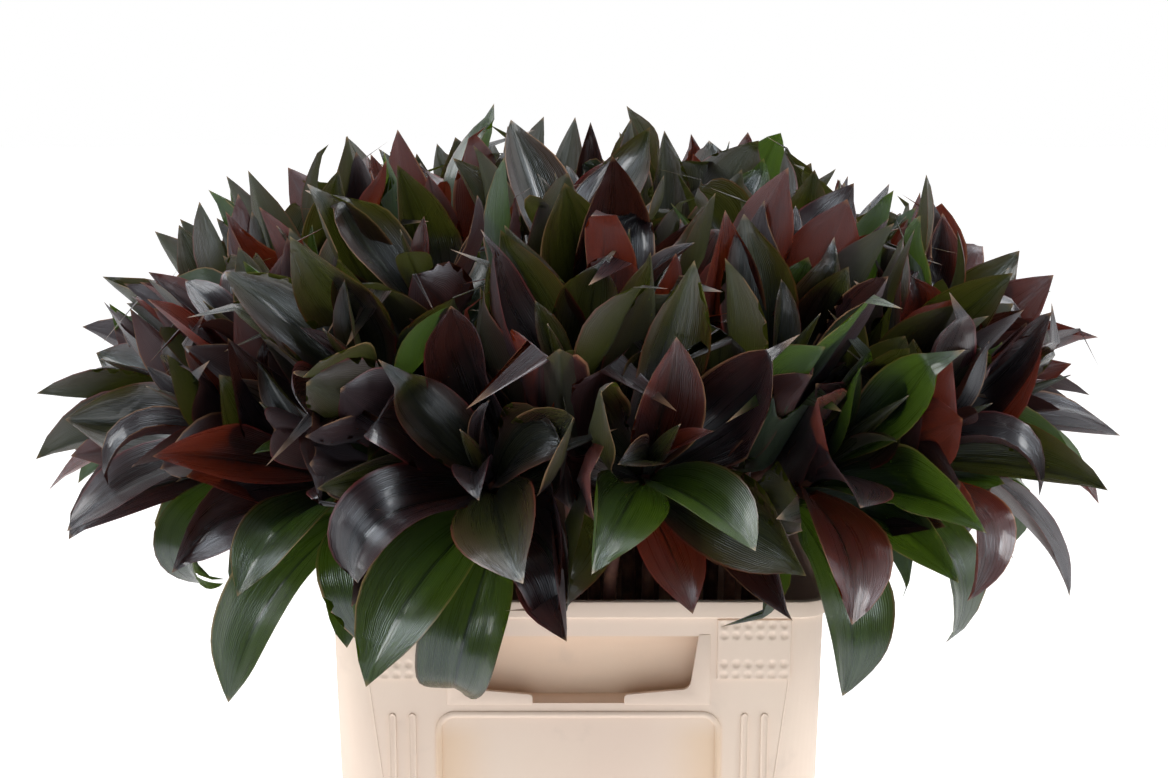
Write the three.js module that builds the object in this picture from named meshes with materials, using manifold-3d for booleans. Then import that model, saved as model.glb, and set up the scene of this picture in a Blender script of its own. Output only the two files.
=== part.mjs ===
// Cut compacta dracaena: a rectangular flower container with water and a dome of leafy stems.
// Millimetres, +Z up. The origin is the middle of the container's flat underside, on the surface
// that it stands on. -Y is the container's short end with the label pocket, +Y the other short end.
import * as THREE from "three";
import { mergeVertices } from "three/addons/utils/BufferGeometryUtils.js";
import Module from "manifold-3d";

const wasm = await Module();
wasm.setup();

// Container
const WIDTH = 296; // outside of the short end, under the lip
const DEPTH = 396; // outside of the long side, under the lip
const HEIGHT = 320;
const WALL = 3;
const FLOOR = 5;
const TAPER = 3; // how much narrower each side is at the foot
const RIM_CORNER = 16;
const FOOT_CORNER = 52;
const CORNER_STEPS = 3;
const FOOT_EDGE = 3;
const LIP_HEIGHT = 11;
const LIP_PROUD = 2.5;

// Label pocket in each short end, behind a frame with an open top and a split ledge
const POCKET_WIDTH = 156;
const POCKET_TOP = 298;
const POCKET_BOTTOM = 256;
const POCKET_DEPTH = 18;
const FRAME_THICK = 2.5;
const FRAME_ARM = 8;
const FRAME_LEDGE = 9; // height of the ledge at the arms
const FRAME_SLOPE = 3.5; // how much lower the ledge is at its inner ends
const FRAME_GAP = 55; // the open middle of the ledge
const FRAME_ROOT = 1; // how far the frame reaches into the wall round the pocket
const PAST_FACE = 5; // how far the pocket's cut runs out in front of the wall

// Raised lines, ribs and pads on the four walls
const PANEL_TOP = 251;
const PANEL_BOTTOM = 46;
const PANEL_CORNER = 12;
const BEAD = 4;
const RELIEF = 1.6;
const SUNK = 1.5; // how far each raised thing reaches into its wall
const RIB_WIDTH = 5;
const RIB_TOP = 250;
const PAD = { width: 45, height: 38, top: 309, centre: 105 };
const SHORT_END = { panel: 172, ribs: [98, 112] };
const LONG_SIDE = { panel: 272, ribs: [] };

// Water
const WATER_DEPTH = 62;
const CLEAR = 0.4; // between the water and the container, and round each stem

// Stems, three-sided, with one row of facets for each leaf at the top
const STEM_RADIUS = 5;
const STEM_SIDES = 3;
const STEM_TAPER = 0.75; // of the radius, from the first leaf to the stem's end
const STEM_STEPS = 3; // how many straight lengths each bend is made of
const LEAFY_LENGTH = 60;

// Leaves. Each midrib is walked in small steps, and the solids use a few of them.
const LEAVES = 10;
const LEAF_LENGTH = 134;
const LEAF_WIDTH = 55;
const LEAF_STEPS = 24;
const FOOT_POWER = 1.05; // these two shape the blade's outline
const TIP_POWER = 0.85;
const BASE_THICK = 2.4; // of the midrib, at the leaf's foot
const TIP_THICK = 1.2;
const STATIONS = [5, 12, 19];
const SPEARS = 4; // the youngest leaves, with fewer stations
const SPEAR_STATIONS = [7, 16];
const TURN = 2.39996; // the golden angle, from each leaf to the next
const STEM_ROOM = 1.5; // between a leaf's edge and its own stem, less past the stem's end
const FOOT_SHARE = 0.16; // of the blade's half width, at the leaf's foot

// How a leaf grows, from the oldest and lowest of a head to the youngest, and how much it varies
// by. Angles are in degrees.
const LEAN = { oldest: 74, youngest: 12, by: 5 }; // away from the stem
const ARCH = { oldest: 34, youngest: 14, by: 16 }; // bent down along the whole blade
const CURL = { oldest: 78, youngest: 40 }; // bent down further near the tip, at most
const CUP = { oldest: 16, youngest: 44, by: 8 }; // how far the two halves fold up
const CUP_FOOT = 25; // folded up further at the foot
const TWIST = 24;
const DROOP = 0.35; // of the oldest leaf under its weight, in radians or so
const YAW = 0.12; // off the middle of its facet, in radians
const SIZE_BY = 0.1;
const MID_SMALLER = 0.12; // the middle leaves than the oldest
const YOUNG_SMALLER = 0.42; // the youngest leaves than the middle ones
const YOUNG_SLIMMER = 0.4;
const MARGIN = 1.2; // behind a wall, and as much again for each younger leaf
const MARGIN_LEAVES = 7;

// What happens where a leaf meets others
const TRIES = 8;
const TRY_SMALLER = 0.06;
const FOLDED = 0.24; // a leaf whose tip comes back nearer than this to its foot is drawn again
const WALL_RANGE = 240; // heads further off than this never meet
const WALL_TILT = 0.28; // how far one head leans over the next, in radians at most
const LEAST_TILT = 0.4; // the share of that which every head leans by
const LOWER_OVER = 0.7; // how often it is the lower head that leans over
const RIM_ROOM = 5; // between the leaves and the container
const TURN_ROOM = 36; // how near a wall a leaf starts to bend away from it
const TURN_UP = 0.7; // how much of that bend goes along the head's axis
const FOLD_UP = 0.8; // how much of an edge's lost width folds up instead

// Rings of heads, from the top of the dome down: how far out, how high above the rim, how far
// the stem's end leans from upright, how many heads, where the first one stands, and how much
// nearer the middle its stem passes the container's mouth.
const SPREAD_X = 278;
const SPREAD_Y = 290;
const RINGS = [
  { out: 0.0, up: 192, lean: 0, count: 1, start: 0, held: 0.4 },
  { out: 0.35, up: 184, lean: 14, count: 6, start: -90, held: 0.4 },
  { out: 0.66, up: 165, lean: 28, count: 11, start: -81, held: 0.4 },
  { out: 0.88, up: 132, lean: 42, count: 14, start: -90, held: 0.4 },
  { out: 0.94, up: 94, lean: 54, count: 17, start: -80, held: 0.47 },
];
const MOUTH_DROP = 10; // how far below the rim a stem starts to bend
const FOOT_SPREAD = 0.9; // the stems stand this much closer together in the water
const CELL_REACH = 52; // how far along its axis a head's middle lies from the end of its stem
const HEAD_BY = { turn: 0.12, out: 0.03, up: 9, lean: 6 }; // turn is a share of the ring's pitch

const SEED = 44.4;
const UP = new THREE.Vector3(0, 0, 1);
const degrees = Math.PI / 180;
const vec = (x, y, z) => new THREE.Vector3(x, y, z);

// A repeatable number from 0 to 1 for a head, a leaf and a use.
function draw(head, leaf, use) {
  const s = Math.sin(head * 12.9898 + leaf * 78.233 + use * 37.719 + SEED) * 43758.5453;
  return s - Math.floor(s);
}

const spread = (head, leaf, use, by) => (draw(head, leaf, use) * 2 - 1) * by;

// A smooth step from 0 to 1 between two values.
function smooth(from, to, x) {
  const t = Math.min(1, Math.max(0, (x - from) / (to - from)));
  return t * t * (3 - 2 * t);
}

// Where each stem ends, which way it points there, and where it stands in the water.
function placeHeads() {
  const heads = [];
  for (const ring of RINGS) {
    for (let i = 0; i < ring.count; i++) {
      const n = heads.length;
      const pitch = 360 / ring.count;
      const a = (ring.start + pitch * i + spread(n, 0, 1, HEAD_BY.turn * pitch)) * degrees;
      const out = ring.out + spread(n, 0, 2, HEAD_BY.out);
      const up = ring.up + spread(n, 0, 3, HEAD_BY.up);
      const lean = (ring.lean + spread(n, 0, 4, HEAD_BY.lean)) * degrees;
      const end = vec(SPREAD_X * out * Math.cos(a), SPREAD_Y * out * Math.sin(a), HEIGHT + up);
      const axis = vec(Math.cos(a) * Math.sin(lean), Math.sin(a) * Math.sin(lean), Math.cos(lean));
      const mouth = vec(end.x * ring.held, end.y * ring.held * (DEPTH / WIDTH), HEIGHT - MOUTH_DROP);
      const foot = vec(mouth.x * FOOT_SPREAD, mouth.y * FOOT_SPREAD, FLOOR + 1);
      const middle = end.clone().addScaledVector(axis, CELL_REACH);
      const side = vec(Math.sin(a), -Math.cos(a), 0);
      heads.push({ n, end, axis, foot, mouth, middle, side });
    }
  }
  return heads;
}

// A direction at right angles to a stem that runs along the given way.
function outOf(head, along, angle) {
  const other = along.clone().cross(head.side);
  return head.side.clone().multiplyScalar(Math.cos(angle)).addScaledVector(other, Math.sin(angle));
}

// Which way a leaf points round its stem.
const turnOf = (head, leaf) => draw(head.n, 0, 13) * 2 * Math.PI + leaf * TURN;

// A stem thins out along its leafy stretch.
const stemRadius = (leaf) => STEM_RADIUS * (1 - STEM_TAPER * (leaf / LEAVES));

// The corners of a stem at one place. Their turn follows the leaves: a leaf grows from the middle
// of the facet after corner leaf % STEM_SIDES, in the row between rings leaf and leaf + 1.
function stemRing(head, place, along, leaf) {
  const pitch = (2 * Math.PI) / STEM_SIDES;
  const turn = turnOf(head, 0) - pitch / 2 + (leaf - 0.5) * (TURN - pitch);
  return Array.from({ length: STEM_SIDES }, (_, corner) =>
    place.clone().addScaledVector(outOf(head, along, turn + corner * pitch), stemRadius(leaf)),
  );
}

// A stem stands in the water, passes the mouth, bends over and ends in a straight leafy stretch.
function stemRings(head) {
  const { foot, mouth, end, axis } = head;
  const leafy = end.clone().addScaledVector(axis, -LEAFY_LENGTH);
  const reach = 0.4 * leafy.distanceTo(mouth);
  const bend = new THREE.CubicBezierCurve3(
    mouth,
    mouth.clone().addScaledVector(UP, reach),
    leafy.clone().addScaledVector(axis, -reach),
    leafy,
  );
  const rings = [stemRing(head, foot, UP, 0)];
  for (let i = 0; i < STEM_STEPS; i++) {
    rings.push(stemRing(head, bend.getPoint(i / STEM_STEPS), bend.getTangent(i / STEM_STEPS), 0));
  }
  for (let leaf = 0; leaf <= LEAVES; leaf++) {
    rings.push(stemRing(head, leafy.clone().lerp(end, leaf / LEAVES), axis, leaf));
  }
  return rings;
}

// The planes between each two near heads, which the leaves of both stay behind. A plane is tilted
// so that the leaves of one head lean over the other's.
function wallsOf(head, heads) {
  const walls = [];
  for (const other of heads) {
    const way = other.middle.clone().sub(head.middle);
    const far = way.length();
    if (other === head || far > WALL_RANGE) continue;
    way.divideScalar(far);
    const halfway = head.end.clone().lerp(other.end, 0.5);
    const out = head.axis.clone().add(other.axis);
    out.addScaledVector(way, -out.dot(way)).normalize();
    const [first, second] = head.n < other.n ? [head, other] : [other, head];
    const over = draw(first.n, second.n, 5) < LOWER_OVER ? 1 : -1;
    const share = LEAST_TILT + (1 - LEAST_TILT) * draw(first.n, second.n, 6);
    const tilt = over * (head === first ? 1 : -1) * WALL_TILT * share;
    way.multiplyScalar(Math.cos(tilt)).addScaledVector(out, Math.sin(tilt));
    walls.push({ way, at: way.dot(halfway) });
  }
  return walls;
}

// Turns a midrib's direction along each wall that it nears, so that the leaf bends up against it.
function steer(place, along, axis, walls, margin) {
  for (const { way, at } of walls) {
    const gap = Math.max(0, at - margin - place.dot(way));
    if (gap >= TURN_ROOM) continue;
    const most = Math.sqrt(1 - (1 - gap / TURN_ROOM) ** 2);
    const excess = along.dot(way) - most;
    if (excess <= 0) continue;
    along.addScaledVector(way, -excess).addScaledVector(axis, TURN_UP * excess).normalize();
  }
}

// Moves a point back behind every wall, and out of the container's box.
function heldBack(point, walls, margin) {
  for (const { way, at } of walls) {
    const over = point.dot(way) - (at - margin);
    if (over > 0) point.addScaledVector(way, -over);
  }
  const inX = WIDTH / 2 + LIP_PROUD + RIM_ROOM + margin - Math.abs(point.x);
  const inY = DEPTH / 2 + LIP_PROUD + RIM_ROOM + margin - Math.abs(point.y);
  const inZ = HEIGHT + RIM_ROOM + margin - point.z;
  if (inX > 0 && inY > 0 && inZ > 0) {
    if (inZ < inX && inZ < inY) point.z += inZ;
    else if (inX < inY) point.x += Math.sign(point.x) * inX;
    else point.y += Math.sign(point.y) * inY;
  }
  return point;
}

// How a leaf differs with its age: 0 is the lowest and oldest of its head, 1 the youngest. Each
// further try at the same leaf is drawn anew and a little smaller.
function leafHabit(head, leaf, tries) {
  const age = leaf / (LEAVES - 1);
  const own = (use, by) => spread(head.n, leaf, use + 50 * tries, by);
  const between = ({ oldest, youngest }, share) => oldest + (youngest - oldest) * share;
  const smaller = MID_SMALLER * smooth(0.35, 0.7, age) + YOUNG_SMALLER * smooth(0.7, 1, age);
  const size = (1 - smaller) * (1 - TRY_SMALLER * tries);
  const slimness = 1 - YOUNG_SLIMMER * smooth(0.75, 1, age);
  return {
    length: LEAF_LENGTH * size * (1 + own(11, SIZE_BY)),
    width: LEAF_WIDTH * size * slimness * (1 + own(12, SIZE_BY)),
    yaw: own(14, YAW * (1 + tries)),
    lean: (between(LEAN, age ** 0.9) + own(15, LEAN.by)) * degrees,
    arch: (between(ARCH, age) + own(16, ARCH.by)) * degrees,
    curl: (0.5 + own(17, 0.5)) ** 2 * between(CURL, age) * degrees,
    twist: own(18, TWIST) * degrees,
    droop: DROOP * (1 - age) ** 1.5 * (1 + own(19, 0.5)),
    cup: (between(CUP, smooth(0.6, 1, age)) + own(20, CUP.by)) * degrees,
    margin: MARGIN * (1 + Math.min(leaf, MARGIN_LEAVES)),
  };
}

// Half of a leaf's width at a share of its length: a broad foot, widest past the middle, a fine tip.
function halfWidth(width, s) {
  const widest = FOOT_POWER / (FOOT_POWER + TIP_POWER);
  const blade = Math.pow(s / widest, FOOT_POWER) * Math.pow((1 - s) / (1 - widest), TIP_POWER);
  return (width / 2) * Math.max(blade, FOOT_SHARE * (1 - smooth(0.1, 0.3, s)));
}

// Two shares of a blade's bend at one step, which add up to 1 along the leaf: all along it, and
// near its tip alone.
const archShare = (s) => (1.6 * smooth(0.1, 0.5, s)) / LEAF_STEPS;
const curlShare = (s) => (3.2 * smooth(0.62, 0.95, s)) / LEAF_STEPS;

// Walks a leaf's midrib out from its stem, and gives each step's place, frame and half width.
function leafRibs(head, leaf, tries, walls) {
  const habit = leafHabit(head, leaf, tries);
  const { axis, end } = head;
  const facet = outOf(head, axis, turnOf(head, leaf));
  const out = outOf(head, axis, turnOf(head, leaf) + habit.yaw);
  const [upwards, outwards] = [Math.cos(habit.lean), Math.sin(habit.lean)];
  const along = axis.clone().multiplyScalar(upwards).addScaledVector(out, outwards);
  const face = axis.clone().multiplyScalar(outwards).addScaledVector(out, -upwards);
  const place = end
    .clone()
    .addScaledVector(axis, LEAFY_LENGTH * ((leaf + 0.5) / LEAVES - 1))
    .addScaledVector(facet, stemRadius(leaf + 0.5) * Math.cos(Math.PI / STEM_SIDES));
  const step = habit.length / LEAF_STEPS;
  const ribs = [];
  for (let i = 0; i <= LEAF_STEPS; i++) {
    const s = i / LEAF_STEPS;
    face.addScaledVector(along, -face.dot(along)).normalize();
    const across = face.clone().cross(along);
    ribs.push({ place: place.clone(), across, face: face.clone(), s, half: halfWidth(habit.width, s) });
    const bend = habit.arch * archShare(s) + habit.curl * curlShare(s);
    along.multiplyScalar(Math.cos(bend)).addScaledVector(face, -Math.sin(bend));
    face.addScaledVector(across, Math.sin(habit.twist / LEAF_STEPS));
    along.addScaledVector(UP, -habit.droop / LEAF_STEPS).normalize();
    steer(place, along, axis, walls, habit.margin);
    const next = heldBack(place.clone().addScaledVector(along, step), walls, habit.margin);
    const moved = next.clone().sub(place);
    if (moved.length() > 0.3 * step) along.copy(moved).normalize();
    place.copy(next);
  }
  return { habit, ribs };
}

// A point across the blade: reach is -1 at one edge, 0 at the midrib and 1 at the other edge.
function bladePoint(head, rib, habit, walls, reach) {
  const cup = habit.cup + CUP_FOOT * degrees * (1 - smooth(0, 0.4, rib.s));
  const far = rib.half * Math.abs(reach);
  const edge = rib.place
    .clone()
    .addScaledVector(rib.across, rib.half * reach * Math.cos(cup))
    .addScaledVector(rib.face, far * Math.sin(cup));
  clearOfStem(edge, head);
  heldBack(edge, walls, habit.margin);
  const lost = Math.sqrt(Math.max(0, far ** 2 - edge.distanceToSquared(rib.place)));
  return heldBack(edge.addScaledVector(rib.face, FOLD_UP * lost), walls, habit.margin);
}

// Moves a point out of the stem that its leaf grows from.
function clearOfStem(point, head) {
  const up = point.clone().sub(head.end).dot(head.axis);
  const out = point.clone().sub(head.end).addScaledVector(head.axis, -up);
  const radius = stemRadius(LEAVES * smooth(-LEAFY_LENGTH, 0, up));
  const room = radius + STEM_ROOM - (1 + STEM_ROOM) * smooth(0, 4 * STEM_RADIUS, up) - out.length();
  if (room > 0) point.addScaledVector(out.normalize(), room);
}

// Turns a list of points and faces into a solid.
function solidOf(points, faces) {
  return new wasm.Manifold(
    new wasm.Mesh({
      numProp: 3,
      vertProperties: new Float32Array(points.flatMap((p) => [p.x, p.y, p.z])),
      triVerts: new Uint32Array(faces.flat()),
    }),
  );
}

// A three.js geometry as a solid, and a solid as a three.js mesh.
function solidFrom(geometry) {
  const bare = geometry.clone();
  bare.deleteAttribute("normal");
  bare.deleteAttribute("uv");
  const merged = mergeVertices(bare, 1e-3);
  return new wasm.Manifold(
    new wasm.Mesh({
      numProp: 3,
      vertProperties: new Float32Array(merged.attributes.position.array),
      triVerts: new Uint32Array(merged.index.array),
    }),
  );
}

function meshOf(name, solid, material) {
  const { vertProperties, triVerts } = solid.getMesh();
  const geometry = new THREE.BufferGeometry();
  geometry.setAttribute("position", new THREE.BufferAttribute(vertProperties, 3));
  geometry.setIndex(new THREE.BufferAttribute(triVerts, 1));
  geometry.computeVertexNormals();
  const mesh = new THREE.Mesh(geometry, material);
  mesh.name = name;
  return mesh;
}

// Joins loops of points, all alike in number, into a closed solid with flat ends.
function loft(loops) {
  const count = loops[0].length;
  const points = loops.flat();
  const faces = [];
  for (let row = 0; row + 1 < loops.length; row++) {
    for (let i = 0; i < count; i++) {
      const a = row * count + i;
      const b = row * count + ((i + 1) % count);
      faces.push([a, b, b + count], [a, b + count, a + count]);
    }
  }
  const top = (loops.length - 1) * count;
  for (let i = 1; i + 1 < count; i++) faces.push([0, i + 1, i], [top, top + i, top + i + 1]);
  return solidOf(points, faces);
}

// The two triangles between neighbouring points a and b of one loop, and c and d of the next.
const quad = (a, b, c, d) => [[a, b, d], [a, d, c]];

// The faces of a blade: from the four corners of its foot, over loops of left edge, top, right edge
// and underside, to the tip. The foot's corners go round as the stem's facet does.
function bladeFaces([lowLeft, lowRight, highRight, highLeft], first, tip) {
  const [left, top, right, under] = [first, first + 1, first + 2, first + 3];
  const faces = [
    [lowLeft, lowRight, under],
    [under, lowRight, right],
    [lowRight, highRight, right],
    [right, highRight, top],
    [highRight, highLeft, top],
    [top, highLeft, left],
    [highLeft, lowLeft, left],
    [left, lowLeft, under],
  ];
  for (let a = first; a + 4 < tip; a += 4) {
    const b = a + 4;
    faces.push([a, b, b + 1], [a, b + 1, a + 1], [a + 2, b + 1, b + 2], [a + 2, a + 1, b + 1]);
    faces.push([a, b + 3, b], [a, a + 3, b + 3], [a + 2, b + 2, b + 3], [a + 2, b + 3, a + 3]);
  }
  for (const [i, j] of [[4, 3], [3, 2], [2, 1], [1, 4]]) faces.push([tip - i, tip, tip - j]);
  return faces;
}

// The points of one leaf past its foot: a folded blade with sharp edges and a midrib that thins out.
function bladePoints(head, leaf, tries, walls) {
  const { habit, ribs } = leafRibs(head, leaf, tries, walls);
  const stations = leaf < LEAVES - SPEARS ? STATIONS : SPEAR_STATIONS;
  const points = stations.flatMap((i) => {
    const rib = ribs[i];
    const thick = BASE_THICK + (TIP_THICK - BASE_THICK) * smooth(0.1, 0.8, rib.s);
    return [
      bladePoint(head, rib, habit, walls, -1),
      rib.place.clone().addScaledVector(rib.face, thick / 2),
      bladePoint(head, rib, habit, walls, 1),
      rib.place.clone().addScaledVector(rib.face, -thick / 2),
    ];
  });
  return [...points, ribs[LEAF_STEPS].place];
}

// Whether the straight line between two points passes through a triangle.
function passesThrough(from, to, [a, b, c]) {
  const way = to.clone().sub(from);
  const far = way.length();
  const hit = new THREE.Ray(from, way.divideScalar(far)).intersectTriangle(a, b, c, false, vec(0, 0, 0));
  return hit !== null && hit.distanceTo(from) < far;
}

// Whether any edge of a leaf's faces passes through another of its faces.
function crossesItself(points, faces) {
  return faces.some((face) =>
    face.some((from, k) => {
      const to = face[(k + 1) % face.length];
      const others = faces.filter((other) => !other.includes(from) && !other.includes(to));
      return others.some((other) => passesThrough(points[from], points[to], other.map((i) => points[i])));
    }),
  );
}

// The faces of a stem, but for the facets that leaves grow from.
function stemFaces(rings, taken) {
  const faces = [];
  for (let row = 0; row + 1 < rings; row++) {
    for (let i = 0; i < STEM_SIDES; i++) {
      const a = row * STEM_SIDES + i;
      const b = row * STEM_SIDES + ((i + 1) % STEM_SIDES);
      if (!taken.has(a)) faces.push(...quad(a, b, a + STEM_SIDES, b + STEM_SIDES));
    }
  }
  const top = (rings - 1) * STEM_SIDES;
  return [...faces, [0, 2, 1], [top, top + 1, top + 2]];
}

function bareStem(head) {
  const rings = stemRings(head);
  return solidOf(rings.flat(), stemFaces(rings.length, new Set()));
}

// A stem with its leaves, in one body. Each leaf grows out of its own facet, clear of what is placed,
// of the leaves before it and of itself, and one that isn't so after a few tries is left out.
function leafyStem(head, heads, placed) {
  const walls = wallsOf(head, heads);
  const rings = stemRings(head);
  const points = rings.flat();
  const low = rings.length - 1 - LEAVES; // the ring under the first leaf
  const others = [...placed];
  const taken = new Set();
  const faces = [];
  for (let leaf = 0; leaf < LEAVES; leaf++) {
    const a = (low + leaf) * STEM_SIDES + (leaf % STEM_SIDES);
    const b = (low + leaf) * STEM_SIDES + ((leaf + 1) % STEM_SIDES);
    const foot = [a, b, b + STEM_SIDES, a + STEM_SIDES];
    for (let tries = 0; tries < TRIES; tries++) {
      const blade = bladePoints(head, leaf, tries, walls);
      const [, nearTop] = blade;
      if (blade.at(-1).distanceTo(nearTop) < FOLDED * LEAF_LENGTH) continue;
      const corners = [...foot.map((i) => points[i]), ...blade];
      const closed = [[0, 2, 1], [0, 3, 2], ...bladeFaces([0, 1, 2, 3], 4, 3 + blade.length)];
      if (crossesItself(corners, closed)) continue;
      const alone = solidOf(corners, closed);
      if (others.some((other) => !other.intersect(alone).isEmpty())) continue;
      others.push(alone);
      taken.add(a);
      faces.push(...bladeFaces(foot, points.length, points.length + blade.length - 1));
      points.push(...blade);
      break;
    }
  }
  return solidOf(points, [...faces, ...stemFaces(rings.length, taken)]);
}

// A level outline of the container: a rectangle with round corners.
function outline(halfX, halfY, corner, z) {
  const points = [];
  for (const [x, y, start] of [[1, 1, 0], [-1, 1, 90], [-1, -1, 180], [1, -1, 270]]) {
    for (let i = 0; i <= CORNER_STEPS; i++) {
      const a = (start + (90 * i) / CORNER_STEPS) * degrees;
      const fromX = x * (halfX - corner);
      const fromY = y * (halfY - corner);
      points.push(vec(fromX + corner * Math.cos(a), fromY + corner * Math.sin(a), z));
    }
  }
  return points;
}

// The container's outline at a height, moved outwards by a distance.
function wallLine(z, out) {
  const share = z / HEIGHT;
  const inwards = TAPER * (1 - share);
  const corner = FOOT_CORNER + (RIM_CORNER - FOOT_CORNER) * share;
  return outline(WIDTH / 2 - inwards + out, DEPTH / 2 - inwards + out, corner + out, z);
}

// A flat shape drawn on a wall, x along it and y up, as a solid from deep inside to proud of it.
// Half is the distance from the container's middle to the wall's foot.
function onWall(shape, half, turn, sunk, proud) {
  const settings = { depth: sunk + proud, bevelEnabled: false, curveSegments: 1 };
  const geometry = new THREE.ExtrudeGeometry(shape, settings);
  geometry.translate(0, 0, -sunk);
  geometry.rotateX(Math.PI / 2 + Math.atan2(TAPER, HEIGHT));
  geometry.translate(0, -half, 0);
  geometry.rotateZ(turn);
  return solidFrom(geometry);
}

function roundedShape(Outline, left, bottom, width, height, corner) {
  const shape = new Outline();
  const right = left + width;
  const top = bottom + height;
  shape.moveTo(left + corner, bottom);
  shape.lineTo(right - corner, bottom);
  shape.absarc(right - corner, bottom + corner, corner, -Math.PI / 2, 0, false);
  shape.lineTo(right, top - corner);
  shape.absarc(right - corner, top - corner, corner, 0, Math.PI / 2, false);
  shape.lineTo(left + corner, top);
  shape.absarc(left + corner, top - corner, corner, Math.PI / 2, Math.PI, false);
  shape.lineTo(left, bottom + corner);
  shape.absarc(left + corner, bottom + corner, corner, Math.PI, 1.5 * Math.PI, false);
  return shape;
}

// The raised line round a wall's panel.
function panelShape(width) {
  const height = PANEL_TOP - PANEL_BOTTOM;
  const shape = roundedShape(THREE.Shape, -width / 2, PANEL_BOTTOM, width, height, PANEL_CORNER);
  shape.holes.push(
    roundedShape(
      THREE.Path,
      BEAD - width / 2,
      PANEL_BOTTOM + BEAD,
      width - 2 * BEAD,
      height - 2 * BEAD,
      PANEL_CORNER - BEAD,
    ),
  );
  return shape;
}

// An upright rib with a round top, which ends low down where the corner's curve begins.
function ribShape(x, half) {
  const lost = (half - TAPER - FOOT_CORNER - x - RIB_WIDTH) / (RIM_CORNER - FOOT_CORNER - TAPER);
  const bottom = Math.max(PANEL_BOTTOM, HEIGHT * lost);
  const shape = new THREE.Shape();
  shape.moveTo(x - RIB_WIDTH / 2, bottom);
  shape.lineTo(x + RIB_WIDTH / 2, bottom);
  shape.absarc(x, RIB_TOP - RIB_WIDTH / 2, RIB_WIDTH / 2, 0, Math.PI, false);
  return shape;
}

// The frame in front of a label pocket: two arms, and a ledge that is split in the middle.
function frameShape() {
  const half = POCKET_WIDTH / 2 + FRAME_ROOT;
  const low = POCKET_BOTTOM - FRAME_ROOT;
  const high = POCKET_TOP + FRAME_ROOT;
  const ledge = POCKET_BOTTOM + FRAME_LEDGE;
  const outer = new THREE.Shape();
  outer.moveTo(-half, low);
  outer.lineTo(-FRAME_GAP / 2, low);
  outer.lineTo(-FRAME_GAP / 2, ledge - FRAME_SLOPE);
  outer.lineTo(FRAME_ARM - half, ledge);
  outer.lineTo(FRAME_ARM - half - FRAME_ROOT, high);
  outer.lineTo(-half, high);
  return outer;
}

function mirrored(shape) {
  const points = shape.getPoints().map((p) => new THREE.Vector2(-p.x, p.y));
  return new THREE.Shape(points.reverse());
}

function boxShape(left, bottom, width, height) {
  const shape = new THREE.Shape();
  shape.moveTo(left, bottom);
  shape.lineTo(left + width, bottom);
  shape.lineTo(left + width, bottom + height);
  shape.lineTo(left, bottom + height);
  return shape;
}

function containerSolid() {
  const under = HEIGHT - LIP_HEIGHT;
  const outside = loft([
    wallLine(0, -FOOT_EDGE),
    wallLine(FOOT_EDGE, 0),
    wallLine(under, 0),
    wallLine(under + LIP_PROUD, LIP_PROUD),
    wallLine(HEIGHT, LIP_PROUD),
  ]);
  const inside = loft([
    wallLine(FLOOR, -WALL - FOOT_EDGE),
    wallLine(FLOOR + FOOT_EDGE, -WALL),
    wallLine(HEIGHT + 1, -WALL),
  ]);
  const halfX = WIDTH / 2 - TAPER;
  const halfY = DEPTH / 2 - TAPER;
  const pockets = [];
  const pocketWalls = [];
  const raised = [];
  for (const turn of [0, Math.PI]) {
    const box = boxShape(-POCKET_WIDTH / 2, POCKET_BOTTOM, POCKET_WIDTH, POCKET_TOP - POCKET_BOTTOM);
    const shell = boxShape(
      -POCKET_WIDTH / 2 - WALL,
      POCKET_BOTTOM - WALL,
      POCKET_WIDTH + 2 * WALL,
      POCKET_TOP - POCKET_BOTTOM + 2 * WALL,
    );
    pockets.push(onWall(box, halfY, turn, POCKET_DEPTH, PAST_FACE));
    pocketWalls.push(onWall(shell, halfY, turn, POCKET_DEPTH + WALL, 0));
    raised.push(onWall(frameShape(), halfY, turn, FRAME_THICK, 0));
    raised.push(onWall(mirrored(frameShape()), halfY, turn, FRAME_THICK, 0));
    for (const side of [-1, 1]) {
      const left = side * PAD.centre - PAD.width / 2;
      const pad = boxShape(left, PAD.top - PAD.height, PAD.width, PAD.height);
      raised.push(onWall(pad, halfY, turn, SUNK, RELIEF));
    }
  }
  const walls = [
    { ...SHORT_END, half: halfY, reach: WIDTH / 2, turns: [0, Math.PI] },
    { ...LONG_SIDE, half: halfX, reach: DEPTH / 2, turns: [Math.PI / 2, -Math.PI / 2] },
  ];
  for (const { panel, ribs, half, reach, turns } of walls) {
    for (const turn of turns) {
      raised.push(onWall(panelShape(panel), half, turn, SUNK, RELIEF));
      for (const x of ribs) {
        raised.push(onWall(ribShape(x, reach), half, turn, SUNK, RELIEF));
        raised.push(onWall(mirrored(ribShape(x, reach)), half, turn, SUNK, RELIEF));
      }
    }
  }
  const { union } = wasm.Manifold;
  const shell = outside.subtract(inside.subtract(union(pocketWalls))).subtract(union(pockets));
  return union([shell, ...raised]);
}

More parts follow.
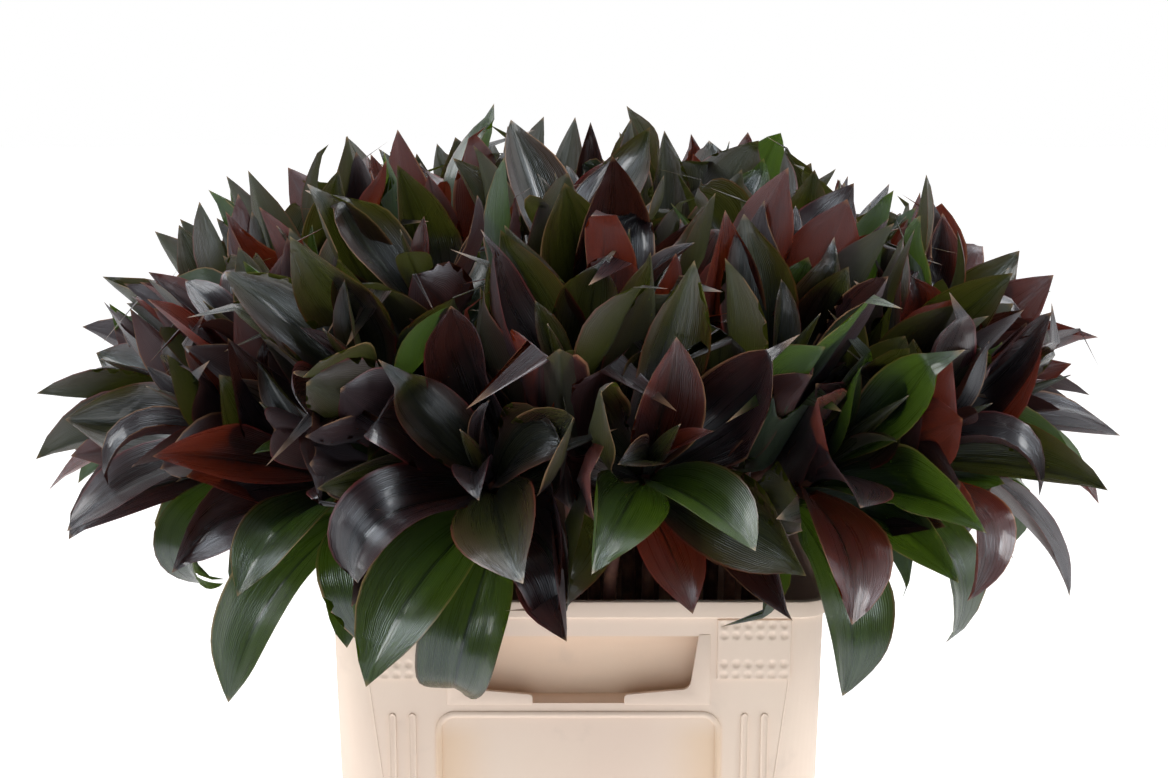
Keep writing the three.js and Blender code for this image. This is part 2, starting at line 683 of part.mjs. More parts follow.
// The water round the stems' feet, with a plain hole for each stem.
function waterSolid(heads) {
  const top = FLOOR + WATER_DEPTH;
  const block = loft([
    wallLine(FLOOR + CLEAR, -WALL - FOOT_EDGE - CLEAR),
    wallLine(FLOOR + FOOT_EDGE + CLEAR, -WALL - CLEAR),
    wallLine(top, -WALL - CLEAR),
  ]);
  const wider = 1 + CLEAR / (STEM_RADIUS * Math.cos(Math.PI / STEM_SIDES));
  const holes = heads.map((head) => {
    const rings = [FLOOR - 1, top + 1].map((z) => {
      const share = (z - head.foot.z) / (head.mouth.z - head.foot.z);
      const place = head.foot.clone().lerp(head.mouth, share);
      const corners = stemRing(head, place, UP, 0);
      return corners.map((corner) => corner.sub(place).multiplyScalar(wider).add(place));
    });
    return loft(rings);
  });
  return block.subtract(wasm.Manifold.union(holes));
}

function material(color, roughness) {
  return new THREE.MeshStandardMaterial({ color, roughness, metalness: 0 });
}

const heads = placeHeads();
const container = containerSolid();
const arrangement = new THREE.Group();
arrangement.add(meshOf("container", container, material(0xead9c2, 0.5)));
arrangement.add(meshOf("water", waterSolid(heads), material(0xb9c4bd, 0.08)));
const placed = [container, ...heads.map(bareStem)];
for (const head of heads) {
  const name = "leafy_stem_" + String(head.n + 1).padStart(2, "0");
  const solid = leafyStem(head, heads, placed);
  placed[1 + head.n] = solid;
  arrangement.add(meshOf(name, solid, material(0x3a1f24, 0.38)));
}

export default arrangement;
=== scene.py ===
"""Looks of a tall flower container full of cut compacta dracaena stems.

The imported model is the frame: its container, water and leafy stems keep their places. Each leafy
stem is replaced by one fine piece that follows the same rule of growth, and the container by a
finely moulded one. Lengths are millimetres in the growing rules and metres in Blender.
"""

from dataclasses import dataclass, field
from enum import Enum
import logging
import math
from typing import Any, Sequence

import bmesh
import bpy
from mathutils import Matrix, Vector
import numpy as np


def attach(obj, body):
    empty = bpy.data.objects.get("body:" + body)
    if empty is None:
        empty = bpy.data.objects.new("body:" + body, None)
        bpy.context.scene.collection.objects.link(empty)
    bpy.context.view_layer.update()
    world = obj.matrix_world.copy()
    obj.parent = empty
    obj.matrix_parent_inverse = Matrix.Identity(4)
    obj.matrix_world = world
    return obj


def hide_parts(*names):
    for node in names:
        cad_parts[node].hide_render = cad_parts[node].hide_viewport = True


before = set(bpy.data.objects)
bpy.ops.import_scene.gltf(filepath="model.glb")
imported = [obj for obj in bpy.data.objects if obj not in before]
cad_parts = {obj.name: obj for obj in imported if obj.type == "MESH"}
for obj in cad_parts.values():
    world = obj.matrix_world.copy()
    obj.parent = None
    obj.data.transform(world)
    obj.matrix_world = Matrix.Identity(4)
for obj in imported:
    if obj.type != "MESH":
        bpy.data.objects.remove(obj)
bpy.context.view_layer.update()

log = logging.getLogger("dracaena")

MM = 0.001
TURN = 2 * math.pi
SEED = 44.4
UP = np.array([0.0, 0.0, 1.0])
Vec = np.ndarray
Triple = tuple[float, float, float]


def smooth(low: float, high: float, x: Any) -> Any:
    """Give the height at x, a number or an array, of a smooth step from 0 at low to 1 at high."""
    t = np.clip((x - low) / (high - low), 0.0, 1.0)
    return t * t * (3 - 2 * t)


def unit(v: Vec) -> Vec:
    """Scale a vector to length 1."""
    return v / math.sqrt(float(v @ v))


def lengths_of(rows: Vec) -> Vec:
    """Give the length of each vector in an array of them, as a last axis of 1."""
    return np.sqrt((rows * rows).sum(-1, keepdims=True))


def draw(head: int, leaf: float, use: float) -> float:
    """Draw a repeatable number from 0 to 1, for one use by one leaf of one head."""
    s = math.sin(head * 12.9898 + leaf * 78.233 + use * 37.719 + SEED) * 43758.5453
    return s - math.floor(s)


def spread(head: int, leaf: float, use: float, by: float) -> float:
    """Draw a repeatable number between -by and by."""
    return (draw(head, leaf, use) * 2 - 1) * by


def placed(name: str, data: bpy.types.ID) -> bpy.types.Object:
    """Make an object from its data and link it to the scene.

    Args:
        name: its name.
        data: its mesh, camera or light.

    Returns:
        The object.
    """
    made = bpy.data.objects.new(name, data)
    bpy.context.scene.collection.objects.link(made)
    return made


def put_in(piece: bpy.types.Object, node: str) -> None:
    """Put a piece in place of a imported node, on the only body."""
    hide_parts(node)
    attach(piece, "root")


class Sock:
    """A shader value that Python's arithmetic works on."""

    def __init__(self, tree: "Tree", socket: bpy.types.NodeSocket) -> None:
        """Keep the node tree and the socket."""
        self.tree = tree
        self.socket = socket

    def __add__(self, other: "Sock | float") -> "Sock":
        """Add."""
        return self.tree.maths("ADD", self, other)

    def __sub__(self, other: "Sock | float") -> "Sock":
        """Subtract."""
        return self.tree.maths("SUBTRACT", self, other)

    def __rsub__(self, other: float) -> "Sock":
        """Subtract from a number."""
        return self.tree.maths("SUBTRACT", other, self)

    def __mul__(self, other: "Sock | float") -> "Sock":
        """Multiply."""
        return self.tree.maths("MULTIPLY", self, other)

    def __abs__(self) -> "Sock":
        """Drop the sign."""
        return self.tree.maths("ABSOLUTE", self)

    __radd__ = __add__
    __rmul__ = __mul__

    def wave(self) -> "Sock":
        """Give the sine."""
        return self.tree.maths("SINE", self)

    def step(self, low: float, high: float) -> "Sock":
        """Give a smooth step from 0 at low to 1 at high.

        Args:
            low: where the step starts, which may be above where it ends.
            high: where it ends.

        Returns:
            The step's height.
        """
        rising = low < high
        values = {"Value": self, "From Min": min(low, high), "From Max": max(low, high)}
        values |= {"To Min": float(not rising), "To Max": float(rising)}
        return self.tree.value("MapRange", values, interpolation_type="SMOOTHSTEP")


class Tree:
    """The node tree of a material or of the world."""

    def __init__(self, owner: bpy.types.Material | bpy.types.World) -> None:
        """Empty the tree of its owner."""
        owner.use_nodes = True
        self.owner = owner
        self.nodes, self.links = owner.node_tree.nodes, owner.node_tree.links
        self.nodes.clear()

    def node(self, kind: str, settings: dict[str, Any], values: dict[Any, Any]) -> bpy.types.Node:
        """Add a node.

        Args:
            kind: the node's type, without ShaderNode before it.
            settings: what is set on the node itself, first.
            values: numbers, colours or links for its inputs, by name or index.

        Returns:
            The node.
        """
        made = self.nodes.new("ShaderNode" + kind)
        for key, value in settings.items():
            setattr(made, key, value)
        for key, value in values.items():
            socket = made.inputs[key]
            if isinstance(value, Sock):
                self.links.new(value.socket, socket)
            else:
                socket.default_value = (*value, 1.0) if socket.type == "RGBA" else value
        return made

    def value(self, kind: str, values: dict[Any, Any], output: Any = 0, **settings: Any) -> Sock:
        """Add a node and give one of its outputs, by name or index."""
        return Sock(self, self.node(kind, settings, values).outputs[output])

    def maths(self, operation: str, *values: Sock | float) -> Sock:
        """Add one Math node and give its value."""
        return self.value("Math", dict(enumerate(values)), operation=operation)

    def mix(self, share: Sock | float, first: Any, second: Any) -> Sock:
        """Mix two colours, where a share of 1 is the second one."""
        return self.value("Mix", {0: share, 6: first, 7: second}, 2, data_type="RGBA")

    def vector(self, *parts: Sock | float) -> Sock:
        """Join three values into a vector."""
        return self.value("CombineXYZ", dict(enumerate(parts)))

    def split(self, vector: Sock) -> list[Sock]:
        """Give a vector's three values."""
        return [Sock(self, output) for output in self.node("SeparateXYZ", {}, {0: vector}).outputs]

    def attribute(self, name: str) -> list[Sock]:
        """Read the three values of a mesh attribute."""
        return self.split(self.value("Attribute", {}, "Vector", attribute_name=name))

    def place(self) -> Sock:
        """Give the object's own coordinates."""
        return self.value("TexCoord", {}, "Object")

    def noise(self, vector: Sock, scale: float, detail: float = 2.0) -> Sock:
        """Give a noise from 0 to 1 that is read at a vector, with so many finer layers."""
        return self.value("TexNoise", {"Vector": vector, "Scale": scale, "Detail": detail}, "Fac")

    def bump(self, height: Sock, distance: float, strength: float) -> Sock:
        """Give a normal that follows a height of 0 to 1, which stands for a distance in metres."""
        return self.value("Bump", {"Height": height, "Distance": distance, "Strength": strength})

    def finish(self, shader: Sock) -> bpy.types.Material | bpy.types.World:
        """Link a shader to the tree's output.

        Args:
            shader: the shader.

        Returns:
            The tree's owner.
        """
        kind = "World" if isinstance(self.owner, bpy.types.World) else "Material"
        self.node("Output" + kind, {}, {"Surface": shader})
        return self.owner


@dataclass(frozen=True)
class Finish:
    """A finish, which a subclass paints."""

    def paint(self, tree: Tree) -> Sock:
        """Give the finish's shader."""
        raise NotImplementedError

    def make(self, name: str) -> bpy.types.Material:
        """Build the finish's material."""
        tree = Tree(bpy.data.materials.new(name))
        return tree.finish(self.paint(tree))


class LeafKind(Enum):
    """The kinds of leaf that the bunch shows, by their material's name."""

    PURPLE = "leaf_purple"
    GREEN = "leaf_green"
    OLIVE = "leaf_olive"
    MAROON = "leaf_maroon"


KINDS = list(LeafKind)
BARK_SLOT, CUT_SLOT = len(KINDS), len(KINDS) + 1


@dataclass(frozen=True)
class LeafFinish(Finish):
    """A leaf's skin: waxy and dark above, duller below, red at its edges.

    The mesh attribute blade holds the place across the leaf from -1 to 1, the place along it from
    0 to 1, and 1 on its upper or 0 on its under side. The attribute leaf holds a chance value for
    each leaf, and how dry it is.
    """

    deep: Triple
    light: Triple
    under: Triple
    foot: Triple
    edge: Triple
    glow: Triple
    flush: Triple
    blushing: float
    thinness: float
    brown: Triple = (0.22, 0.12, 0.055)
    spot: Triple = (0.16, 0.09, 0.04)

    def paint(self, tree: Tree) -> Sock:
        """Give the leaf's shader.

        Args:
            tree: the material's node tree.

        Returns:
            The shader.
        """
        across, along, upper = tree.attribute("blade")
        chance, dry, _ = tree.attribute("leaf")
        reach = abs(across)
        stretched = tree.vector(across * 5.0 + chance * 40.0, along * 1.8, chance * 23.0)
        blotch = tree.noise(stretched, 1.0, 3.0)
        streak = tree.noise(tree.vector(across * 45.0, along * 1.5, chance * 31.0), 1.0)
        fleck = tree.noise(tree.place(), 900.0)
        vein = (across * 130.0 + streak * 5.0).wave() * 0.5 + 0.5
        patchy = blotch.step(0.38, 0.68)
        top = tree.mix(patchy * 0.7 + chance * 0.2, self.deep, self.light)
        top = tree.mix(along.step(0.45, 0.05) * 0.75, top, self.foot)
        blush = (reach + along * 0.5 + (blotch - 0.5) * 0.9).step(0.5, 1.35)
        top = tree.mix(blush * self.blushing, top, self.flush)
        low = tree.mix(patchy * 0.6, self.under, self.light)
        low = tree.mix(blush * self.blushing * 0.7, low, self.flush)
        skin = tree.mix(upper, low, top)
        skin = tree.mix(vein * streak.step(0.45, 0.8) * 0.10, skin, self.glow)
        rib = reach.step(0.07, 0.0) * along.step(0.95, 0.5)
        skin = tree.mix(rib * 0.5, skin, self.foot)
        rim = (reach + (streak - 0.5) * 0.04).step(0.925, 0.995)
        skin = tree.mix(rim * 0.8, skin, self.edge)
        torn = rim * (blotch + dry).step(1.12, 1.3)
        withered = along.step(0.965, 0.998) * 0.8 + torn
        skin = tree.mix(withered, skin, self.brown)
        spots = fleck.step(0.71, 0.78) * dry.step(0.45, 0.95)
        height = vein * 0.4 + reach.step(0.0, 0.09) * 0.6 + streak * 0.9
        normal = tree.bump(height, 0.0004, 0.6)
        values = {
            "Base Color": tree.mix(spots * 0.4, skin, self.spot),
            "Roughness": 0.36 - upper * 0.20 + blotch * 0.14 + streak * 0.12 + withered * 0.25,
            "Specular IOR Level": 0.7,
            "Specular Tint": (0.80, 0.90, 1.0),
            "Coat Weight": upper * (0.25 + patchy * 0.45),
            "Coat Roughness": 0.14,
            "Sheen Weight": 0.025,
            "Sheen Roughness": 0.45,
            "Sheen Tint": (0.70, 0.66, 0.85),
            "Normal": normal,
        }
        waxy = tree.value("BsdfPrincipled", values)
        through = tuple(math.sqrt(value) for value in self.glow)
        pale = tree.value("BsdfTranslucent", {"Color": through, "Normal": normal})
        share = (1 - rib * 0.8) * (0.65 + blotch * 0.7) * self.thinness
        inside = tree.value("NewGeometry", {}, "Backfacing")
        return tree.value("MixShader", {0: tree.maths("MAXIMUM", share, inside), 1: waxy, 2: pale})


LEAF_FINISHES = {
    LeafKind.PURPLE: LeafFinish(
        deep=(0.0026, 0.0018, 0.0028), light=(0.0086, 0.0047, 0.0065),
        under=(0.0202, 0.0101, 0.0119), foot=(0.0035, 0.0063, 0.0028), edge=(0.10, 0.013, 0.013),
        glow=(0.14, 0.034, 0.016), flush=(0.0145, 0.0043, 0.0051), blushing=0.7, thinness=0.07,
    ),
    LeafKind.GREEN: LeafFinish(
        deep=(0.0026, 0.0066, 0.0021), light=(0.0072, 0.0173, 0.0043),
        under=(0.0173, 0.0317, 0.0144), foot=(0.0028, 0.0049, 0.0021), edge=(0.08, 0.011, 0.008),
        glow=(0.16, 0.30, 0.020), flush=(0.0119, 0.0102, 0.0043), blushing=0.5, thinness=0.16,
    ),
    LeafKind.OLIVE: LeafFinish(
        deep=(0.0036, 0.0040, 0.0024), light=(0.0101, 0.0108, 0.0043),
        under=(0.0202, 0.0180, 0.0094), foot=(0.0042, 0.0070, 0.0024), edge=(0.11, 0.013, 0.011),
        glow=(0.13, 0.15, 0.018), flush=(0.0255, 0.0064, 0.0047), blushing=0.85, thinness=0.12,
    ),
    LeafKind.MAROON: LeafFinish(
        deep=(0.0050, 0.0024, 0.0030), light=(0.0144, 0.0050, 0.0056),
        under=(0.0274, 0.0101, 0.0101), foot=(0.0042, 0.0063, 0.0025), edge=(0.12, 0.014, 0.012),
        glow=(0.40, 0.055, 0.016), flush=(0.0306, 0.0059, 0.0051), blushing=0.8, thinness=0.12,
    ),
}


@dataclass(frozen=True)
class CutFinish(Finish):
    """The pale flesh where a rolled leaf was cut across."""

    flesh: Triple = (0.42, 0.30, 0.20)
    shade: Triple = (0.20, 0.12, 0.08)

    def paint(self, tree: Tree) -> Sock:
        """Give the cut's shader."""
        flesh = tree.mix(tree.noise(tree.place(), 1200.0), self.flesh, self.shade)
        return tree.value("BsdfPrincipled", {"Base Color": flesh, "Roughness": 0.6})


@dataclass(frozen=True)
class StemFinish(Finish):
    """Red-brown bark with a paler skin in its furrows."""

    bark: Triple = (0.085, 0.030, 0.022)
    pale: Triple = (0.200, 0.085, 0.050)

    def paint(self, tree: Tree) -> Sock:
        """Give the stem's shader.

        Args:
            tree: the material's node tree.

        Returns:
            The shader.
        """
        coarse = tree.noise(tree.place(), 90.0, 4.0)
        fine = tree.noise(tree.place(), 700.0)
        values = {
            "Base Color": tree.mix(coarse.step(0.4, 0.7), self.bark, self.pale),
            "Roughness": 0.5 + fine * 0.25,
            "Normal": tree.bump(coarse + fine * 0.4, 0.0006, 0.6),
        }
        return tree.value("BsdfPrincipled", values)


@dataclass(frozen=True)
class PlasticFinish(Finish):
    """Cream moulded plastic, lightly scuffed, with painted warm light-through glow beside the
    panels and painted warm shade in the label pockets.
    """

    cream: Triple = (0.80, 0.665, 0.56)
    rosy: Triple = (0.78, 0.61, 0.515)
    # painted glow and shade: this warm colour stands in for light through thin plastic and for
    # shade in the pockets
    painted_glow_and_shade: Triple = (0.74, 0.50, 0.29)
    scuff: Triple = (0.46, 0.38, 0.34)
    panel_top: float = 0.251
    panel_side: float = 0.084
    pocket_side: float = 0.078
    pocket_back: float = 0.190

    def paint(self, tree: Tree) -> Sock:
        """Give the plastic's shader.

        Args:
            tree: the material's node tree.

        Returns:
            The shader.
        """
        place = tree.place()
        x, y, z = tree.split(place)
        cloud = tree.noise(place, 7.0, 3.0)
        grain = tree.noise(place, 1400.0)
        smear = tree.noise(place, 34.0, 5.0)
        streaks = tree.noise(tree.vector(x * 60.0, y * 60.0, z * 3.0), 1.0, 3.0)
        panel = z.step(self.panel_top + 0.001, self.panel_top - 0.020)
        side, pocket, back = self.panel_side, self.pocket_side, self.pocket_back
        # painted glow: a warm tint beside the panel's sides, where light would shine through the
        # thin plastic
        panel_side_glow_zone = abs(x).step(0.045, side) * abs(x).step(side + 0.004, side)
        # painted shade: a warm, darker tint over the label pocket's recess and everything set
        # deeper than the wall
        deep = abs(y).step(back, back - 0.012) * abs(x).step(pocket + 0.004, pocket)
        skin = self.cream
        for share, colour in (
            (cloud.step(0.35, 0.7) * 0.6, self.rosy),
            (panel * panel_side_glow_zone * 0.5, self.painted_glow_and_shade),
            (deep * 0.3, self.painted_glow_and_shade),
            (smear.step(0.62, 0.78) * 0.18, self.scuff),
            (streaks.step(0.62, 0.8) * 0.10, self.scuff),
        ):
            skin = tree.mix(share, skin, colour)
        values = {
            "Base Color": skin,
            "Roughness": 0.5 + smear * 0.2,
            "Specular IOR Level": 0.22,
            "Normal": tree.bump(grain + cloud * 2.0, 0.00008, 0.5),
        }
        return tree.value("BsdfPrincipled", values)


@dataclass(frozen=True)
class WaterFinish(Finish):
    """Still water, a little cloudy from the stems."""

    tint: Triple = (0.60, 0.62, 0.50)
    cloudy: Triple = (0.42, 0.43, 0.32)

    def paint(self, tree: Tree) -> Sock:
        """Give the water's shader.

        Args:
            tree: the material's node tree.

        Returns:
            The shader.
        """
        cloud = tree.noise(tree.place(), 9.0, 3.0)
        values = {
            "Base Color": tree.mix(cloud, self.tint, self.cloudy),
            "Roughness": 0.04 + cloud * 0.06,
            "IOR": 1.33,
            "Transmission Weight": 0.75,
            "Normal": tree.bump(tree.noise(tree.place(), 22.0), 0.0008, 0.4),
        }
        return tree.value("BsdfPrincipled", values)


@dataclass(frozen=True)
class FloorFinish(Finish):
    """A pale floor that gives back nearly all the light that it gets."""

    pale: Triple = (0.52, 0.52, 0.52)
    worn: Triple = (0.50, 0.50, 0.50)
    lift: float = 0.74

    def paint(self, tree: Tree) -> Sock:
        """Give the floor's shader.

        Args:
            tree: the material's node tree.

        Returns:
            The shader.
        """
        values = {
            "Base Color": tree.mix(tree.noise(tree.place(), 3.0) * 0.3, self.pale, self.worn),
            "Roughness": 0.7,
            "Emission Color": (1.0, 1.0, 1.0),
            "Emission Strength": self.lift,
        }
        return tree.value("BsdfPrincipled", values)


@dataclass(frozen=True)
class Ring:
    """A ring of heads: how far out and how high they are, how they lean, and where they start."""

    out: float
    up: float
    lean: float
    count: int
    start: float
    held: float


@dataclass
class Head:
    """One leafy stem's place, from its foot in the water through the mouth to its end."""

    number: int
    end: Vec
    axis: Vec
    mouth: Vec
    foot: Vec
    middle: Vec
    side: Vec
    ways: Vec = field(init=False)
    ats: Vec = field(init=False)

    def out(self, angle: float) -> Vec:
        """Give a direction at right angles to the stem, turned by an angle."""
        return self.side * math.cos(angle) + np.cross(self.axis, self.side) * math.sin(angle)

    def turn_of(self, leaf: float) -> float:
        """Give the angle at which a leaf stands round the stem."""
        return draw(self.number, 0, 13) * TURN + leaf * Growth.LEAF_TURN

    @property
    def name(self) -> str:
        """Give the name of the head's node."""
        return f"leafy_stem_{self.number + 1:02d}"


@dataclass(frozen=True)
class Habit:
    """How one leaf grows. Angles are radians."""

    length: float
    width: float
    yaw: float
    lean: float
    arch: float
    curl: float
    twist: float
    droop: float
    cup: float
    margin: float


@dataclass
class Rib:
    """A leaf's midrib in steps: places, directions across and out of the face, and half widths."""

    places: Vec
    across: Vec
    face: Vec
    shares: Vec
    halves: Vec


class Growth:
    """The rule by which the heads stand and their leaves grow, in millimetres."""

    WIDTH, DEPTH, HEIGHT = 296.0, 396.0, 320.0
    LIP_PROUD, RIM_ROOM, FLOOR = 2.5, 5.0, 5.0
    SPREAD_X, SPREAD_Y = 278.0, 290.0
    LOOSE_TURN, LOOSE_OUT, LOOSE_UP, LOOSE_LEAN = 0.12, 0.03, 9.0, 6.0
    MOUTH_BELOW, FOOT_ABOVE, FOOT_INWARDS = 10.0, 1.0, 0.9
    RINGS = (
        Ring(0.0, 192, 0, 1, 0, 0.4),
        Ring(0.35, 184, 14, 6, -90, 0.4),
        Ring(0.66, 165, 28, 11, -81, 0.4),
        Ring(0.88, 132, 42, 14, -90, 0.4),
        Ring(0.94, 94, 54, 17, -80, 0.47),
    )
    STEM_RADIUS, STEM_TAPER, STEM_SIDES = 5.0, 0.75, 3
    LEAFY_LENGTH = 60.0
    LEAVES, SPEARS, STEPS, TRIES = 10, 4, 24, 8
    LEAF_LENGTH, LEAF_WIDTH = 134.0, 55.0
    FOOT_POWER, TIP_POWER, FOOT_SHARE = 1.05, 0.85, 0.16
    LEAF_TURN = 2.39996
    DROOP = 0.35
    WALL_RANGE, WALL_TILT, LOWER_OVER = 240.0, 0.28, 0.7
    TURN_ROOM, TURN_UP, FOLD_UP = 36.0, 0.7, 0.8
    CELL_REACH = 52.0
    CUP_FOOT = math.radians(25)
    FOUND_WITHIN = 0.5

    def heads(self) -> list[Head]:
        """Place every head, with the planes between it and its neighbours.

        Returns:
            The heads, from the top of the dome down.
        """
        made: list[Head] = []
        for ring in self.RINGS:
            for i in range(ring.count):
                n = len(made)
                pitch = 360 / ring.count
                loose = spread(n, 0, 1, self.LOOSE_TURN * pitch)
                a = math.radians(ring.start + pitch * i + loose)
                c, s = math.cos(a), math.sin(a)
                out = ring.out + spread(n, 0, 2, self.LOOSE_OUT)
                high = self.HEIGHT + ring.up + spread(n, 0, 3, self.LOOSE_UP)
                lean = math.radians(ring.lean + spread(n, 0, 4, self.LOOSE_LEAN))
                end = np.array([self.SPREAD_X * out * c, self.SPREAD_Y * out * s, high])
                axis = np.array([c * math.sin(lean), s * math.sin(lean), math.cos(lean)])
                held_y = ring.held * (self.DEPTH / self.WIDTH)
                low = self.HEIGHT - self.MOUTH_BELOW
                mouth = np.array([end[0] * ring.held, end[1] * held_y, low])
                foot = np.array([*mouth[:2] * self.FOOT_INWARDS, self.FLOOR + self.FOOT_ABOVE])
                middle = end + axis * self.CELL_REACH
                made.append(Head(n, end, axis, mouth, foot, middle, np.array([s, -c, 0.0])))
        for head in made:
            self.wall(head, made)
        return made

    def wall(self, head: Head, heads: Sequence[Head]) -> None:
        """Set the planes that a head's leaves stay behind.

        Args:
            head: the head.
            heads: all heads.
        """
        ways: list[Vec] = []
        ats: list[float] = []
        for other in heads:
            way = other.middle - head.middle
            far = math.sqrt(float(way @ way))
            if other is head or far > self.WALL_RANGE:
                continue
            way = way / far
            halfway = (head.end + other.end) / 2
            out = head.axis + other.axis
            out = unit(out - way * (out @ way))
            first, second = sorted((head.number, other.number))
            over = 1 if draw(first, second, 5) < self.LOWER_OVER else -1
            share = 0.4 + 0.6 * draw(first, second, 6)
            tilt = over * (1 if head.number == first else -1) * self.WALL_TILT * share
            way = way * math.cos(tilt) + out * math.sin(tilt)
            ways.append(way)
            ats.append(float(way @ halfway))
        head.ways, head.ats = np.array(ways), np.array(ats)

    def stem_radius(self, leaf: Any) -> Any:
        """Give a stem's radius beside a leaf."""
        return self.STEM_RADIUS * (1 - self.STEM_TAPER * (leaf / self.LEAVES))

    def habit(self, head: Head, leaf: float, tries: int) -> Habit:
        """Draw how one leaf grows.

        Args:
            head: the leaf's head.
            leaf: its number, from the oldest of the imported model, below which it is less than 0.
            tries: how many times it was drawn before.

        Returns:
            The habit.
        """
        age = max(0.0, leaf / (self.LEAVES - 1))
        under = max(0.0, -leaf)

        def own(use: int, by: float) -> float:
            """Draw one of this leaf's own numbers."""
            return spread(head.number, leaf, use + 50 * tries, by)

        smaller = 0.12 * smooth(0.35, 0.7, age) + 0.42 * smooth(0.7, 1, age)
        size = (1 - smaller) * (1 - 0.06 * tries) * (1 - 0.06 * under)
        slimness = 1 - 0.4 * smooth(0.75, 1, age)
        old = max(0.0, 1 - age)
        return Habit(
            length=self.LEAF_LENGTH * size * (1 + own(11, 0.1)),
            width=self.LEAF_WIDTH * size * slimness * (1 + own(12, 0.1)),
            yaw=own(14, 0.12 * (1 + tries)),
            lean=math.radians(74 - 4 * under - 62 * age**0.9 + own(15, 5)),
            arch=math.radians(34 - 20 * age + own(16, 16)),
            curl=(0.5 + own(17, 0.5)) ** 2 * math.radians(78 - 38 * age),
            twist=math.radians(own(18, 24)),
            droop=self.DROOP * old**1.5 * (1 + own(19, 0.5)),
            cup=math.radians(16 + 28 * smooth(0.6, 1, age) + own(20, 8)),
            margin=1.2 * max(0.3, 1 + min(leaf, 7)),
        )

    def half_width(self, width: float, s: float) -> float:
        """Give half a leaf's width at a share of its length.

        Args:
            width: the leaf's greatest width.
            s: the share.

        Returns:
            Half the width there.
        """
        widest = self.FOOT_POWER / (self.FOOT_POWER + self.TIP_POWER)
        blade = (s / widest) ** self.FOOT_POWER * ((1 - s) / (1 - widest)) ** self.TIP_POWER
        return width / 2 * max(blade, self.FOOT_SHARE * (1 - smooth(0.1, 0.3, s)))

    def held_back(self, points: Vec, head: Head, margin: float) -> Vec:
        """Move points behind a head's planes and out of the container's box.

        Args:
            points: the points, one in each row.
            head: the head.
            margin: how far behind the planes they stay.

        Returns:
            The moved points.
        """
        moved = points.copy()
        for way, at in zip(head.ways, head.ats):
            over = np.maximum(moved @ way - (at - margin), 0.0)
            moved -= over[:, None] * way
        room = self.LIP_PROUD + self.RIM_ROOM + margin
        in_x = self.WIDTH / 2 + room - np.abs(moved[:, 0])
        in_y = self.DEPTH / 2 + room - np.abs(moved[:, 1])
        in_z = self.HEIGHT + self.RIM_ROOM + margin - moved[:, 2]
        inside = (in_x > 0) & (in_y > 0) & (in_z > 0)
        lift = inside & (in_z < in_x) & (in_z < in_y)
        aside = inside & ~lift & (in_x < in_y)
        ahead = inside & ~lift & ~aside
        moved[lift, 2] += in_z[lift]
        moved[aside, 0] += np.sign(moved[aside, 0]) * in_x[aside]
        moved[ahead, 1] += np.sign(moved[ahead, 1]) * in_y[ahead]
        return moved

    def clear_of_stem(self, points: Vec, head: Head) -> Vec:
        """Move points out of the stem that their leaf grows from.

        Args:
            points: the points, one in each row.
            head: the leaf's head.

        Returns:
            The moved points.
        """
        away = points - head.end
        up = away @ head.axis
        out = away - up[:, None] * head.axis
        far = lengths_of(out)
        radius = self.stem_radius(self.LEAVES * smooth(-self.LEAFY_LENGTH, 0, up))
        room = (radius + 1.5 - 2.5 * smooth(0, 20, up))[:, None] - far
        return points + out / far * np.maximum(room, 0.0)

    def rib(self, head: Head, leaf: float, habit: Habit) -> Rib:
        """Walk a leaf's midrib out from its stem.

        Args:
            head: the leaf's head.
            leaf: the leaf's number.
            habit: how it grows.

        Returns:
            The midrib.
        """
        axis = head.axis
        facet, out = (head.out(head.turn_of(leaf) + yaw) for yaw in (0.0, habit.yaw))
        along = axis * math.cos(habit.lean) + out * math.sin(habit.lean)
        face = axis * math.sin(habit.lean) - out * math.cos(habit.lean)
        up = self.LEAFY_LENGTH * ((leaf + 0.5) / self.LEAVES - 1)
        reach = self.stem_radius(max(0.5, leaf + 0.5)) * math.cos(math.pi / self.STEM_SIDES)
        place = head.end + axis * up + facet * reach
        step = habit.length / self.STEPS
        rows: list[tuple[Vec, Vec, Vec, float, float]] = []
        for i in range(self.STEPS + 1):
            s = i / self.STEPS
            face = unit(face - along * (face @ along))
            across = np.cross(face, along)
            rows.append((place, across, face, s, self.half_width(habit.width, s)))
            arch = habit.arch * 1.6 * smooth(0.1, 0.5, s)
            bend = (arch + habit.curl * 3.2 * smooth(0.62, 0.95, s)) / self.STEPS
            along = along * math.cos(bend) - face * math.sin(bend)
            face = face + across * math.sin(habit.twist / self.STEPS)
            along = unit(along - UP * (habit.droop / self.STEPS))
            along = self.steer(place, along, head, habit.margin)
            ahead = self.held_back((place + along * step)[None, :], head, habit.margin)[0]
            moved = ahead - place
            far = math.sqrt(float(moved @ moved))
            if far > 0.3 * step:
                along = moved / far
            place = ahead
        return Rib(*(np.array(column) for column in zip(*rows)))

    def steer(self, place: Vec, along: Vec, head: Head, margin: float) -> Vec:
        """Turn a midrib along each plane that it nears.

        Args:
            place: where the midrib has come to.
            along: its direction there.
            head: the leaf's head.
            margin: how far behind the planes it stays.

        Returns:
            The turned direction.
        """
        gaps = np.maximum(0.0, head.ats - margin - head.ways @ place)
        for way, gap in zip(head.ways, gaps):
            if gap >= self.TURN_ROOM:
                continue
            most = math.sqrt(1 - (1 - gap / self.TURN_ROOM) ** 2)
            excess = float(along @ way) - most
            if excess > 0:
                along = unit(along - way * excess + head.axis * (self.TURN_UP * excess))
        return along

